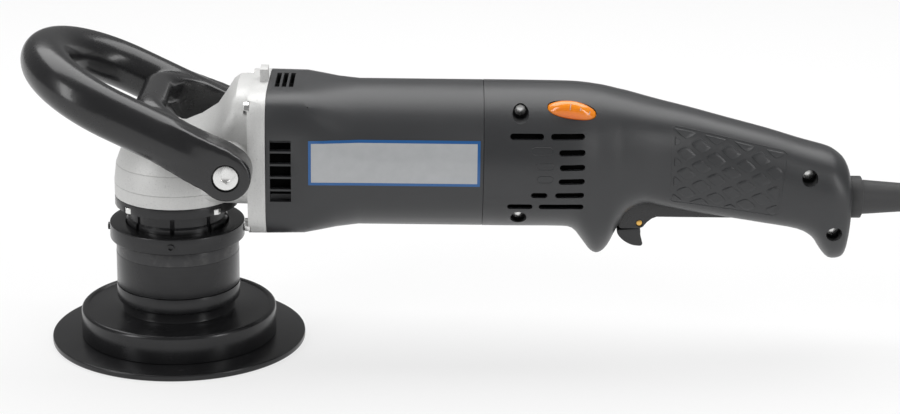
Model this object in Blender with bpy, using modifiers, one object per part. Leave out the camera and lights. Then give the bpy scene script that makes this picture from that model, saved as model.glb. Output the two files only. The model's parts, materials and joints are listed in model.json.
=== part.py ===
"""An edge beveling machine, built piece by piece in metres with +Z up.

The origin is the centre of the guide plate's underside, on the spindle's axis.
The motor and the rear handle run along +X, and the loop handle rises towards -X.
"""

import math

import bmesh
import bpy
from mathutils import Matrix, Vector

# Driving sizes of the whole machine
PLATE_R = 0.078
PLATE_T = 0.0036
AXIS_Z = 0.1209
BARREL_R = 0.0444
FLANGE_FRONT = 0.0465
HOUSING_FRONT = 0.0573
SHELL_FRONT = 0.1864
SHELL_LENGTH = 0.224
CORD_D = 0.009

# Gaps and overruns shared by all pieces
SEAT_GAP = 0.0003
SLIDE_GAP = 0.0003
OVERRUN = 0.002
MERGE = 0.00001

# Facets around round pieces
PLATE_STEPS = 48
LARGE_STEPS = 32
MEDIUM_STEPS = 18
SMALL_STEPS = 8

# Guide: plate, bell, sleeve, ring and its screws
PLATE_BORE_R = 0.030
PLATE_CHAMFER = 0.0008
BELL_R = 0.060
BELL_TOP = 0.0212
BELL_EDGE_R = 0.0022
BELL_WALL = 0.009
BELL_ROOF = 0.0042
BELL_GROOVE = 0.0009
HUB_R = 0.0378
HUB_NECK_R = 0.0345
HUB_NECK_TOP = 0.0262
HUB_TOP = 0.0365
HUB_ROUND = 0.0026
SLEEVE_R = 0.0376
SLEEVE_TOP = 0.066
RING_R = 0.0411
RING_H = 0.0097
RING_CHAMFER = 0.0006
SET_SCREW_R = 0.0024
SET_SCREW_PROUD = 0.0013
SET_SCREW_TIP_R = 0.001
SET_SCREW_TIP = 0.0016
SET_SCREW_HEX_R = 0.0014
SET_SCREW_HEX_DEPTH = 0.0018
SET_SCREWS = 4
SCREW_HOLE_GAP = 0.0003

# Bearing flange and its slotted neck
NECK_R = 0.031
NECK_BORE_R = 0.027
NECK_BOTTOM = 0.043
NECK_STEP = 0.0012
NECK_STEP_Z = 0.0785
NECK_WEB_Z = 0.080
NECK_WEB = 0.004
FLANGE_R = 0.0376
FLANGE_BOTTOM = 0.0877
FLANGE_T = 0.0058
SPIGOT_R = 0.0303
SPIGOT_H = 0.0035
NECK_SLOTS = 8
NECK_SLOT_W = 0.0027
NECK_SLOT_DEPTH = 0.0016
FLANGE_SCREW_X = 0.0252
FLANGE_SCREW_Y = 0.024
FLANGE_SCREW_R = 0.0017
FLANGE_SCREW_HEAD_R = 0.0035
FLANGE_SCREW_HEAD_H = 0.0034
FLANGE_SCREW_LENGTH = 0.013

# Gear housing casting
DOME_R = 0.0376
DOME_TOP = 0.1370
DOME_PROFILE_SHARES = (
    (0.36, 0.98),
    (0.66, 0.88),
    (0.87, 0.68),
    (0.97, 0.45),
    (1.0, 0.24),
)
THROAT_SIDES = 28
THROAT_STATION_SHARES = (
    (0.10, 0.60, 0.78, 2.6),
    (0.32, 0.655, 0.86, 2.7),
    (0.54, 0.745, 0.92, 2.8),
    (0.66, 0.86, 0.93, 3.0),
    (0.76, 0.965, 0.935, 3.2),
    (0.84, 1.0, 0.94, 3.4),
    (1.0, 1.0, 0.945, 3.6),
)
CASTING_WALL_R = 0.0313
FLANGE_SQUARENESS = 5.0
FLANGE_LUG_W = 0.012
FLANGE_LUG_T = 0.005
FLANGE_LUG_H = 0.0075
HOUSING_SCREW_Y = 0.036
HOUSING_SCREW_Z = 0.036
HOUSING_SCREW_SPOT = 0.0012
HOUSING_SCREW_R = 0.0021
HOUSING_SCREW_HEAD_R = 0.0042
HOUSING_SCREW_HEAD_H = 0.0032
HOUSING_SCREW_LENGTH = 0.034
SCREW_POCKET_GAP = 0.0006
TOP_BUSH_GAP = 0.001
PINION_ROOM_X = 0.0175
PINION_ROOM_R = 0.0128

# Loop handle, its fork and its bolts
PIVOT_X = 0.0355
PIVOT_Z = 0.123
LOOP_TILT = math.radians(25.8)
LOOP_HALF_SPAN = 0.052
LOOP_TUBE_R = 0.0148
LOOP_STRAIGHT = 0.073
LOOP_OFFSET = 0.0012
BRIDGE_TUBE_R = 0.0078
BRIDGE_REACH = 0.0565
BRIDGE_CORNER_R = 0.026
BRIDGE_START = 0.012
BRIDGE_HALF_SPAN = 0.0455
FORK_HALF_GAP = 0.0450
FORK_DEPTH = 0.046
FORK_CORNER_R = 0.020
LOOP_TURN_STEPS = 12
BRIDGE_TURN_STEPS = 5
BOLT_R = 0.004
BOLT_HEAD_R = 0.0074
BOLT_HEAD_H = 0.0034
BOLT_RECESS_R = 0.0083
BOLT_RECESS = 0.0046
BOLT_HEX_R = 0.0029
BOLT_HEX_DEPTH = 0.002
BOLT_REACH = 0.012
PIVOT_BOSS_R = 0.0138

# Bevel gears, spindle and its bearings
CROWN_TEETH = 27
PINION_TEETH = 9
GEAR_MODULE = 0.0022
GEAR_FACE = 0.0095
ADDENDUM_SHARE = 0.86
DEDENDUM_SHARE = 1.14
BACKLASH = 0.0005
FLANK_SLOPE = math.tan(math.radians(20.0))
SPINDLE_R = 0.0075
SPINDLE_SHOULDER_R = 0.0098
SPINDLE_GEAR_R = 0.007
SPINDLE_TOP_R = 0.005
SPINDLE_TOP = 0.1285
SPINDLE_NOSE_R = 0.0055
CROWN_BACK = 0.0180
BEARING_R = 0.0175
BEARING_H = 0.011
TOP_BUSH_R = 0.008
TOP_BUSH_H = 0.009

# Cutter head, inserts and the pilot bearing
CUTTER_R = 0.0235
CUTTER_TIP_R = 0.0112
CUTTER_BOTTOM = 0.0085
CUTTER_H = 0.021
INSERTS = 3
INSERT_SIDE = 0.011
INSERT_T = 0.0035
PILOT_R = 0.0095
PILOT_BORE_R = 0.0032
PILOT_H = 0.005
PILOT_SCREW_HEAD_R = 0.0045
PILOT_SCREW_HEAD_H = 0.0014
PILOT_SCREW_R = 0.0026
PILOT_SCREW_LENGTH = 0.011

# Motor: armature on two bearings in a stator
ARMATURE_START = 0.019
PINION_SHAFT_R = 0.004
SHAFT_R = 0.006
CORE_SHAFT_R = 0.008
FRONT_BEARING_X = 0.036
FRONT_BEARING_R = 0.016
FRONT_BEARING_W = 0.010
FAN_X = 0.0585
FAN_W = 0.013
FAN_R = 0.037
FAN_BLADES = 11
FAN_BLADE_T = 0.002
FAN_DISC_T = 0.002
CORE_X = 0.082
CORE_BACK = 0.0464
CORE_R = 0.023
WINDING_R = 0.019
WINDING_LENGTH = 0.008
COMMUTATOR_BACK = 0.0354
COMMUTATOR_LENGTH = 0.014
COMMUTATOR_R = 0.0135
REAR_BEARING_BACK = 0.0162
REAR_BEARING_R = 0.011
REAR_BEARING_W = 0.007
REAR_SHAFT_R = 0.004
STATOR_BORE_R = 0.0236
STATOR_X = 0.080
STATOR_BACK = 0.0444
BRUSH_BACK = 0.0329
BRUSH_W = 0.008
BRUSH_T = 0.0062
BRUSH_HOLDER_WALL = 0.0016
BRUSH_LENGTH = 0.014

# Motor housing, moulded in one piece
HOUSING_SIDES = 32
HOUSING_STATION_SHARES = (
    (0.0, 5.0),
    (0.17, 4.6),
    (0.24, 3.4),
    (0.32, 2.5),
    (0.42, 2.0),
    (1.0, 2.0),
)
HOUSING_WALL = 0.0032
SPIGOT_LENGTH = 0.009
END_WALL_BACK = 0.0184
END_WALL_X = SHELL_FRONT - END_WALL_BACK
REAR_BEARING_X = SHELL_FRONT - REAR_BEARING_BACK
COMMUTATOR_X = SHELL_FRONT - COMMUTATOR_BACK
BRUSH_X = SHELL_FRONT - BRUSH_BACK
CORE_LENGTH = SHELL_FRONT - CORE_BACK - CORE_X
STATOR_LENGTH = SHELL_FRONT - STATOR_BACK - STATOR_X
END_WALL = 0.0122
AIR_HOLES = 4
AIR_HOLE_R = 0.0095
AIR_HOLE_RADIUS = 0.0265
SIDE_VENT_X = 0.0598
SIDE_VENT_W = 0.0125
SIDE_VENTS = 5
SIDE_VENT_H = 0.0066
SIDE_VENT_PITCH = 0.0078
TOP_VENT_W = 0.0028
TOP_VENT_PITCH = 0.0042
TOP_VENT_HALF = 0.016
TOP_VENTS = 3

# Rear handle shells, moulded as two halves that meet at the middle plane
SHELL_WALL = 0.003
SEAM_GAP = 0.0003
SHELL_SIDES = 22
SHELL_STATION_SHARES = (
    (0.0, 1.0, -1.0, 1.0, 0.0, 2.0, 2.0),
    (0.22, 0.995, -0.995, 0.99, 0.0, 2.0, 2.0),
    (0.252, 0.988, -1.06, 0.965, -0.01, 2.05, 1.95),
    (0.279, 0.975, -1.22, 0.935, -0.03, 2.1, 1.8),
    (0.322, 0.942, -1.39, 0.88, -0.06, 2.2, 1.65),
    (0.36, 0.898, -1.13, 0.83, -0.05, 2.25, 1.8),
    (0.378, 0.876, -0.88, 0.81, -0.03, 2.3, 2.0),
    (0.436, 0.80, -0.64, 0.745, 0.01, 2.3, 2.3),
    (0.485, 0.736, -0.69, 0.69, -0.02, 2.35, 2.4),
    (0.56, 0.646, -0.77, 0.63, -0.10, 2.4, 2.4),
    (0.77, 0.366, -0.93, 0.585, -0.31, 2.4, 2.4),
    (0.86, 0.23, -1.01, 0.59, -0.41, 2.35, 2.3),
    (0.927, 0.137, -1.30, 0.595, -0.47, 2.3, 1.9),
    (0.95, 0.10, -1.46, 0.585, -0.48, 2.3, 1.8),
    (0.99, -0.09, -1.44, 0.51, -0.52, 2.2, 1.9),
    (1.0, -0.27, -1.26, 0.40, -0.57, 2.1, 2.0),
)
SHELL_SCREW_PLACES = ("upper_front", "lower_front", "grip", "tail")
SHELL_SCREW_SHARES = (
    (0.096, 0.74, 0.41),
    (0.096, -0.707, 0.41),
    (0.878, -0.16, 0.27),
    (0.955, -0.98, 0.20),
)
SHELL_SCREW_R = 0.0018
SHELL_SCREW_HEAD_R = 0.0035
SHELL_SCREW_HEAD_H = 0.0026
SHELL_SCREW_BITE = 0.011
SHELL_RECESS_R = 0.0049
SHELL_BOSS_R = 0.0064
VENT_H = 0.0034
VENT_ROW_SHARES = (
    (0.48, 0.068, 0.158),
    (0.48, 0.176, 0.266),
    (0.28, 0.198, 0.268),
    (0.085, 0.200, 0.268),
    (-0.11, 0.198, 0.268),
    (-0.315, 0.126, 0.170),
    (-0.315, 0.190, 0.268),
    (-0.50, 0.064, 0.132),
    (-0.50, 0.148, 0.268),
)
VENT_ROUND_SIDES = 6
SWITCH_X = 0.288
SWITCH_LENGTH = 0.046
SWITCH_H = 0.026
SWITCH_HALF_W = 0.0105
SWITCH_Z = 0.117
MODULE_SETBACK = 0.0166
MODULE_X = SHELL_FRONT + MODULE_SETBACK
MODULE_LENGTH = 0.040
MODULE_H = 0.024
MODULE_HALF_W = 0.013
MODULE_Z = 0.108
RIB_MARGIN = 0.0025
RIB_INSET = 0.006
RIB_T = 0.0025

# Speed dial, a crowned wheel that shows through the shell
DIAL_SHARE = 0.228
DIAL_ANGLE = math.radians(53.0)
DIAL_LEAN = math.radians(-7.0)
DIAL_R = 0.020
DIAL_HALF_W = 0.0082
DIAL_PROUD = 0.0045
DIAL_RIM_SHARE = 0.62
DIAL_GAP = 0.0005
DIAL_PIN_R = 0.0018
DIAL_PIN_REACH = 0.0035
YOKE_T = 0.0025
YOKE_HALF = 0.0045

# Paddle switch lever and its safety catch
PADDLE_HALF_W = 0.011
PADDLE_SIDE_GAP = 0.0006
PADDLE_PIVOT_X = 0.347
PADDLE_PIVOT_Z = 0.0885
PADDLE_PIN_R = 0.0016
PADDLE_PIN_HALF = 0.0155
PADDLE_REACH = 0.0768
PADDLE_DEPTH = 0.020
PADDLE_ROOM_GAP = 0.003
PADDLE_ROOM_BACK = 0.0045
PADDLE_ROOM_TOP = 0.0985
PADDLE_OUTLINE_SHARES = (
    (-1.0, 0.29),
    (-1.0, -0.54),
    (-0.985, -0.595),
    (-0.842, -0.595),
    (-0.81, -0.545),
    (-0.776, -0.38),
    (-0.742, -0.275),
    (-0.705, -0.215),
    (-0.08, -0.215),
    (-0.02, -0.17),
    (0.025, -0.08),
    (0.035, 0.02),
    (0.015, 0.11),
    (-0.04, 0.17),
    (-0.60, 0.34),
    (-0.95, 0.40),
)
CATCH_PIN_SHARE = 0.83984375
CATCH_PIN_Z = 0.0801
CATCH_PIN_R = 0.0018
CATCH_HALF_W = 0.0075
CATCH_LUG_HALF = 0.003
CATCH_LUG_R = 0.0038
CATCH_GAP = 0.0005
CATCH_REACH = 0.0130
CATCH_DROP = 0.0160
CATCH_OUTLINE_SHARES = (
    (-1.0, -0.33),
    (-0.98, -0.53),
    (-0.70, -0.79),
    (-0.26, -1.0),
    (0.10, -1.0),
    (0.19, -0.80),
    (0.13, -0.40),
    (0.06, -0.25),
)

# Cord entry: boot, cord, coil, tie and plug
COLLAR_Z = 0.0950
COLLAR_R = 0.0130
COLLAR_LENGTH = 0.0075
BOOT_NECK_R = 0.0085
BOOT_FLANGE_R = 0.0110
BOOT_FLANGE_T = 0.0032
BOOT_R = 0.0107
BOOT_MIDDLE_R = 0.0088
BOOT_LENGTH = 0.052
BOOT_END_R = 0.0058
CORD_ROUTE = (
    (0.4705, 0.0, 0.0950),
    (0.482, 0.0, 0.0948),
    (0.495, 0.0, 0.0925),
    (0.509, 0.0, 0.0864),
    (0.524, 0.0, 0.0760),
    (0.540, 0.0, 0.0621),
    (0.556, 0.0, 0.0470),
    (0.572, 0.0, 0.0328),
    (0.588, 0.0, 0.0212),
    (0.604, 0.0, 0.0127),
    (0.621, 0.0, 0.0078),
    (0.636, 0.0, 0.0061),
    (0.6507, 0.0, 0.0061),
)
COIL_TURNS = 11.5
COIL_LAYERS = 4
COIL_STEP = 0.0096
COIL_MIDDLE_R = 0.054
COIL_POINTS = 24
COIL_X = 0.660
COIL_Z = 0.0061
TAIL_ROUTE = (
    (0.6507, 0.1356, 0.0349),
    (0.643, 0.1356, 0.0348),
    (0.635, 0.1356, 0.0334),
    (0.6275, 0.1356, 0.0302),
    (0.620, 0.1356, 0.0262),
    (0.6125, 0.1356, 0.0223),
    (0.605, 0.1356, 0.0196),
    (0.598, 0.1356, 0.0186),
    (0.591, 0.1356, 0.0185),
)
CORD_SPACING = 2.2
PLUG_R = 0.0182
PLUG_LENGTH = 0.036
PLUG_EDGE = 0.003
PLUG_NECK_R = 0.0068
PLUG_NECK = 0.022
PLUG_PIN_R = 0.0024
PLUG_PIN_LENGTH = 0.019
PLUG_PIN_HALF_GAP = 0.0095
TIE_HALF_W = 0.005
TIE_T = 0.0011
TIE_GAP = 0.00035
TIE_CORNER_R = 0.0045
LEAST_COIL_GAP = 0.0004

# Finishes: colour, roughness and metallic value
FINISHES = {
    "cast_aluminium": ((0.62, 0.62, 0.61), 0.42, 0.6),
    "black_steel": ((0.020, 0.020, 0.021), 0.32, 0.5),
    "black_plastic": ((0.016, 0.016, 0.017), 0.30, 0.0),
    "grey_plastic": ((0.050, 0.051, 0.053), 0.48, 0.0),
    "bright_steel": ((0.72, 0.72, 0.72), 0.22, 1.0),
    "bearing_steel": ((0.50, 0.50, 0.51), 0.25, 1.0),
    "copper": ((0.60, 0.26, 0.12), 0.35, 1.0),
    "laminations": ((0.22, 0.22, 0.23), 0.45, 0.8),
    "carbide": ((0.38, 0.37, 0.35), 0.30, 1.0),
    "brass": ((0.80, 0.50, 0.12), 0.30, 1.0),
    "orange_plastic": ((0.95, 0.28, 0.03), 0.25, 0.0),
    "black_rubber": ((0.028, 0.028, 0.029), 0.62, 0.0),
    "carbon": ((0.03, 0.03, 0.03), 0.55, 0.0),
    "circuit_resin": ((0.05, 0.14, 0.09), 0.40, 0.0),
}

UP = Vector((0.0, 0.0, 1.0))
ALONG = Vector((1.0, 0.0, 0.0))
ACROSS = Vector((0.0, 1.0, 0.0))
AXIS = Vector((0.0, 0.0, AXIS_Z))


# The scene, its collections and materials
def clear_scene():
    for obj in list(bpy.data.objects):
        bpy.data.objects.remove(obj)


def collection(name):
    made = bpy.data.collections.new(name)
    bpy.context.scene.collection.children.link(made)
    return made


def finish(name):
    found = bpy.data.materials.get(name)
    if found:
        return found
    colour, roughness, metallic = FINISHES[name]
    made = bpy.data.materials.new(name)
    made.use_nodes = True
    shader = made.node_tree.nodes["Principled BSDF"]
    shader.inputs["Base Color"].default_value = (*colour, 1.0)
    shader.inputs["Roughness"].default_value = roughness
    shader.inputs["Metallic"].default_value = metallic
    made.diffuse_color = (*colour, 1.0)
    return made


clear_scene()
PARTS = collection("edge_beveling_machine")
CUTTERS = collection("cutters")


# Making pieces and cutters
def add_object(name, data, into=PARTS, matrix=None):
    obj = bpy.data.objects.new(name, data)
    into.objects.link(obj)
    if matrix is not None:
        obj.matrix_world = matrix
    if into == CUTTERS:
        obj.hide_render = True
        obj.display_type = "WIRE"
    return obj


def give(obj, finish_name, sharp=math.radians(32.0)):
    obj.data.materials.append(finish(finish_name))
    if obj.type == "MESH" and obj.data.polygons:
        obj.data.shade_smooth()
        obj.data.set_sharp_from_angle(angle=sharp)
    return obj


def placed(at, direction=UP):
    turn = Vector(direction).to_track_quat("Z", "Y").to_matrix().to_4x4()
    return Matrix.Translation(at) @ turn


def turned(name, profile, at=(0.0, 0.0, 0.0), direction=UP, steps=LARGE_STEPS, into=PARTS):
    """A solid of revolution. The profile runs outward, then down its outer side."""
    mesh = bpy.data.meshes.new(name)
    count = len(profile)
    edges = [(i, i + 1) for i in range(count - 1)]
    if profile[0][0] > MERGE:
        edges.append((count - 1, 0))
    mesh.from_pydata([(r, 0.0, h) for r, h in profile], edges, [])
    obj = add_object(name, mesh, into, placed(at, direction))
    screw = obj.modifiers.new("Turn", "SCREW")
    screw.steps = steps
    screw.render_steps = steps
    screw.use_merge_vertices = True
    screw.merge_threshold = MERGE
    screw.use_smooth_shade = True
    return obj


def solid(name, make, into=PARTS):
    """A mesh object whose shape the function make adds to an empty bmesh."""
    shape = bmesh.new()
    make(shape)
    mesh = bpy.data.meshes.new(name)
    shape.to_mesh(mesh)
    shape.free()
    return add_object(name, mesh, into)


def add_box(shape, low, high, turn=None):
    low, high = Vector(low), Vector(high)
    matrix = Matrix.LocRotScale((low + high) / 2, None, high - low)
    if turn is not None:
        matrix = turn @ matrix
    bmesh.ops.create_cube(shape, size=1.0, matrix=matrix)


def add_rod(shape, start, end, radius, sides=SMALL_STEPS, end_radius=None):
    start, end = Vector(start), Vector(end)
    matrix = placed((start + end) / 2, end - start)
    tip = radius if end_radius is None else end_radius
    bmesh.ops.create_cone(
        shape,
        cap_ends=True,
        segments=sides,
        radius1=radius,
        radius2=tip,
        depth=(end - start).length,
        matrix=matrix,
    )


def add_slab(shape, outline, low, high):
    """A prism across the machine, from y low to y high. Its outline (x, z) turns left."""
    front = [shape.verts.new((x, low, z)) for x, z in outline]
    back = [shape.verts.new((x, high, z)) for x, z in outline]
    shape.faces.new(front)
    shape.faces.new(back[::-1])
    for i in range(len(outline)):
        j = (i + 1) % len(outline)
        shape.faces.new((front[i], back[i], back[j], front[j]))


def meshed(obj, into):
    """The same shape as a welded mesh, so that a Boolean can use it."""
    graph = bpy.context.evaluated_depsgraph_get()
    bpy.context.view_layer.update()
    mesh = bpy.data.meshes.new_from_object(obj.evaluated_get(graph))
    shape = bmesh.new()
    shape.from_mesh(mesh)
    bmesh.ops.remove_doubles(shape, verts=shape.verts, dist=MERGE)
    bmesh.ops.recalc_face_normals(shape, faces=shape.faces)
    shape.to_mesh(mesh)
    shape.free()
    matrix = obj.matrix_world.copy()
    name = obj.name
    bpy.data.objects.remove(obj)
    return add_object(name, mesh, into, matrix)


def plate_shape(name, outline, thickness, matrix, into=PARTS):
    """A flat outline, extruded to both sides of its plane and made a mesh."""
    curve = bpy.data.curves.new(name, "CURVE")
    curve.dimensions = "2D"
    curve.fill_mode = "BOTH"
    curve.extrude = thickness / 2
    spline = curve.splines.new("POLY")
    spline.points.add(len(outline) - 1)
    for point, (x, y) in zip(spline.points, outline):
        point.co = (x, y, 0.0, 1.0)
    spline.use_cyclic_u = True
    return meshed(add_object(name, curve, into, matrix), into)


def side_plane(y=0.0):
    """A plane whose own x and y are the machine's X and Z."""
    return Matrix.Translation((0.0, y, 0.0)) @ Matrix.Rotation(math.radians(90.0), 4, "X")


def tube(name, points, radius, resolution=2, into=PARTS):
    curve = bpy.data.curves.new(name, "CURVE")
    curve.dimensions = "3D"
    curve.bevel_depth = radius
    curve.bevel_resolution = resolution
    curve.use_fill_caps = True
    spline = curve.splines.new("POLY")
    spline.points.add(len(points) - 1)
    for point, place in zip(spline.points, points):
        point.co = (*place, 1.0)
    return add_object(name, curve, into)


def boolean(obj, other, operation="DIFFERENCE"):
    for holder in list(other.users_collection):
        holder.objects.unlink(other)
    CUTTERS.objects.link(other)
    other.hide_render = True
    other.display_type = "WIRE"
    modifier = obj.modifiers.new(other.name, "BOOLEAN")
    modifier.operation = operation
    modifier.object = other
    modifier.solver = "EXACT"
    return obj


def rounded_section(half_width, top, bottom, middle, upper, lower, sides):
    """Points (y, z) around a section whose upper and lower halves have their own squareness."""
    points = []
    for i in range(sides):
        angle = math.tau * i / sides
        across, rise = math.cos(angle), math.sin(angle)
        power = 2 / (upper if rise >= 0 else lower)
        reach = (top if rise >= 0 else bottom) - middle
        y = math.copysign(abs(across) ** power, across) * half_width
        points.append((y, middle + abs(rise) ** power * reach))
    return points


def lofted(name, stations, into=PARTS, capped=True):
    """A skin through sections of like point counts. Each station is (x, [(y, z), ...])."""

    def make(shape):
        rings = []
        for x, section in stations:
            rings.append([shape.verts.new((x, y, z)) for y, z in section])
        sides = len(rings[0])
        for ring, after in zip(rings, rings[1:]):
            for i in range(sides):
                j = (i + 1) % sides
                shape.faces.new((ring[i], ring[j], after[j], after[i]))
        if capped:
            shape.faces.new(rings[0][::-1])
            shape.faces.new(rings[-1])
        bmesh.ops.recalc_face_normals(shape, faces=shape.faces)

    return solid(name, make, into)


def joint_axis(name, at):
    empty = bpy.data.objects.new(name, None)
    empty.location = at
    PARTS.objects.link(empty)
    return empty


def carry(parent, names):
    """Parents the named objects to the empty, and leaves them where they are."""
    bpy.context.view_layer.update()
    for name in names:
        child = bpy.data.objects[name]
        place = child.matrix_world.copy()
        child.parent = parent
        child.matrix_world = place
    return parent


# Screws and other fasteners
def cap_screw_profile(head_r, head_h, shank_r, length):
    return [
        (0.0, head_h),
        (head_r, head_h),
        (head_r, 0.0),
        (shank_r, 0.0),
        (shank_r, -length),
        (0.0, -length),
    ]


def cap_screw(name, seat, outward, head_r, head_h, shank_r, length, finish_name):
    profile = cap_screw_profile(head_r, head_h, shank_r, length)
    screw = turned(name, profile, seat, outward, SMALL_STEPS)
    return give(screw, finish_name)


def circle_places(count, radius, start=0.0):
    for i in range(count):
        angle = start + math.tau * i / count
        yield angle, Vector((radius * math.cos(angle), radius * math.sin(angle), 0.0))


# Guide: it slides on the neck to set the cutting depth
def guide_plate():
    plate = turned(
        "guide_plate",
        [
            (PLATE_BORE_R, PLATE_T),
            (PLATE_R - PLATE_CHAMFER, PLATE_T),
            (PLATE_R, PLATE_T - PLATE_CHAMFER),
            (PLATE_R, 0.0),
            (PLATE_BORE_R, 0.0),
        ],
        steps=PLATE_STEPS,
    )

    return give(plate, "black_steel")


def guide_bell():
    bottom = PLATE_T + SEAT_GAP
    inner = BELL_R - BELL_WALL
    roof = BELL_TOP - BELL_ROOF
    bore = NECK_R + SLIDE_GAP
    groove_out = BELL_R - BELL_EDGE_R * 2
    profile = [
        (bore, HUB_TOP),
        (HUB_R, HUB_TOP),
        (HUB_R, HUB_NECK_TOP + HUB_ROUND),
        (HUB_R - HUB_ROUND * 0.3, HUB_NECK_TOP + HUB_ROUND * 0.3),
        (HUB_R - HUB_ROUND, HUB_NECK_TOP),
        (HUB_NECK_R, HUB_NECK_TOP),
        (HUB_NECK_R, BELL_TOP - BELL_GROOVE),
        (groove_out, BELL_TOP - BELL_GROOVE),
        (groove_out + BELL_GROOVE, BELL_TOP),
        (BELL_R - BELL_EDGE_R, BELL_TOP),
        (BELL_R - BELL_EDGE_R * 0.3, BELL_TOP - BELL_EDGE_R * 0.3),
        (BELL_R, BELL_TOP - BELL_EDGE_R),
        (BELL_R, bottom),
        (inner, bottom),
        (inner, roof),
        (bore, roof),
    ]
    bell = turned("guide_bell", profile, steps=LARGE_STEPS)
    return give(bell, "black_steel")


def depth_sleeve():
    bottom = HUB_TOP + SEAT_GAP
    profile = [
        (NECK_R + SLIDE_GAP, SLEEVE_TOP),
        (SLEEVE_R, SLEEVE_TOP),
        (SLEEVE_R, bottom),
        (NECK_R + SLIDE_GAP, bottom),
    ]
    return give(turned("depth_sleeve", profile), "black_steel")


def ring_bottom():
    return SLEEVE_TOP + SEAT_GAP


def set_screw_height():
    return ring_bottom() + RING_H / 2


def clamp_ring():
    bottom = ring_bottom()
    top = bottom + RING_H
    profile = [
        (NECK_R + SLIDE_GAP, top),
        (RING_R - RING_CHAMFER, top),
        (RING_R, top - RING_CHAMFER),
        (RING_R, bottom + RING_CHAMFER),
        (RING_R - RING_CHAMFER, bottom),
        (NECK_R + SLIDE_GAP, bottom),
    ]
    ring = turned("clamp_ring", profile)

    def holes(shape):
        for _, outward in circle_places(SET_SCREWS, 1.0):
            height = UP * set_screw_height()
            start = outward * (NECK_R - OVERRUN) + height
            end = outward * (RING_R + OVERRUN) + height
            add_rod(shape, start, end, SET_SCREW_R + SCREW_HOLE_GAP)

    boolean(ring, solid("set_screw_holes", holes, CUTTERS))
    return give(ring, "black_steel")


def set_screws():
    made = []
    for index, (_, outward) in enumerate(circle_places(SET_SCREWS, 1.0), 1):
        top = RING_R + SET_SCREW_PROUD
        shoulder = NECK_R + SLIDE_GAP * 2
        tip = NECK_R - SET_SCREW_TIP + SLIDE_GAP
        profile = [
            (0.0, top),
            (SET_SCREW_R, top),
            (SET_SCREW_R, shoulder),
            (SET_SCREW_TIP_R, shoulder),
            (SET_SCREW_TIP_R, tip),
            (0.0, tip),
        ]
        screw = turned(f"set_screw_{index}", profile, UP * set_screw_height(), outward, SMALL_STEPS)

        def socket(shape, outward=outward, top=top):
            height = UP * set_screw_height()
            start = outward * (top - SET_SCREW_HEX_DEPTH) + height
            add_rod(shape, start, outward * (top + OVERRUN) + height, SET_SCREW_HEX_R, 6)

        boolean(screw, solid(f"set_screw_socket_{index}", socket, CUTTERS))
        made.append(give(screw, "black_steel"))
    return made


# Bearing flange with the slotted neck, and its screws
def flange_top():
    return FLANGE_BOTTOM + FLANGE_T


def bearing_flange():
    top = flange_top()
    seat = BEARING_R + SEAT_GAP
    profile = [
        (seat, top + SPIGOT_H),
        (SPIGOT_R, top + SPIGOT_H),
        (SPIGOT_R, top),
        (FLANGE_R, top),
        (FLANGE_R, FLANGE_BOTTOM),
        (NECK_R - NECK_STEP, FLANGE_BOTTOM),
        (NECK_R - NECK_STEP, NECK_STEP_Z + NECK_STEP),
        (NECK_R, NECK_STEP_Z),
        (NECK_R, NECK_BOTTOM),
        (NECK_BORE_R, NECK_BOTTOM),
        (NECK_BORE_R, NECK_WEB_Z),
        (SPINDLE_R + NECK_STEP, NECK_WEB_Z),
        (SPINDLE_R + NECK_STEP, NECK_WEB_Z + NECK_WEB),
        (seat, NECK_WEB_Z + NECK_WEB),
    ]
    flange = turned("bearing_flange", profile)

    def slots(shape):
        for angle, _ in circle_places(NECK_SLOTS, 1.0):
            add_box(
                shape,
                (NECK_R - NECK_SLOT_DEPTH, -NECK_SLOT_W / 2, NECK_BOTTOM - OVERRUN),
                (NECK_R + OVERRUN, NECK_SLOT_W / 2, FLANGE_BOTTOM - NECK_STEP),
                Matrix.Rotation(angle, 4, "Z"),
            )

    def pockets(shape):
        for place in flange_screw_places():
            low = place + UP * (FLANGE_BOTTOM - OVERRUN)
            roof = place + UP * (flange_screw_seat() + SEAT_GAP)
            add_rod(shape, low, roof, FLANGE_SCREW_HEAD_R + SCREW_POCKET_GAP, SMALL_STEPS)

    def holes(shape):
        for place in flange_screw_places():
            low = place + UP * FLANGE_BOTTOM
            high = place + UP * (top + OVERRUN)
            add_rod(shape, low, high, FLANGE_SCREW_R + SCREW_HOLE_GAP)

    boolean(flange, solid("neck_slots", slots, CUTTERS))
    boolean(flange, solid("flange_screw_pockets", pockets, CUTTERS))
    boolean(flange, solid("flange_screw_holes", holes, CUTTERS))
    return give(flange, "black_steel")


def flange_screw_places():
    for x in (-FLANGE_SCREW_X, FLANGE_SCREW_X):
        for y in (-FLANGE_SCREW_Y, FLANGE_SCREW_Y):
            yield Vector((x, y, 0.0))


def flange_screw_seat():
    return FLANGE_BOTTOM + FLANGE_SCREW_HEAD_H


def flange_screws():
    for index, place in enumerate(flange_screw_places(), 1):
        seat = place + UP * flange_screw_seat()
        cap_screw(
            f"flange_screw_{index}",
            seat,
            -UP,
            FLANGE_SCREW_HEAD_R,
            FLANGE_SCREW_HEAD_H,
            FLANGE_SCREW_R,
            FLANGE_SCREW_LENGTH,
            "bright_steel",
        )


# Gear housing: a dome over the gears, a throat and the square motor flange
def square_section(half, squareness, sides, shrink=0.0):
    reach = half - shrink
    return rounded_section(reach, AXIS_Z + reach, AXIS_Z - reach, AXIS_Z, squareness, squareness, sides)


def casting_bottom():
    return flange_top() + SEAT_GAP


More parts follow.
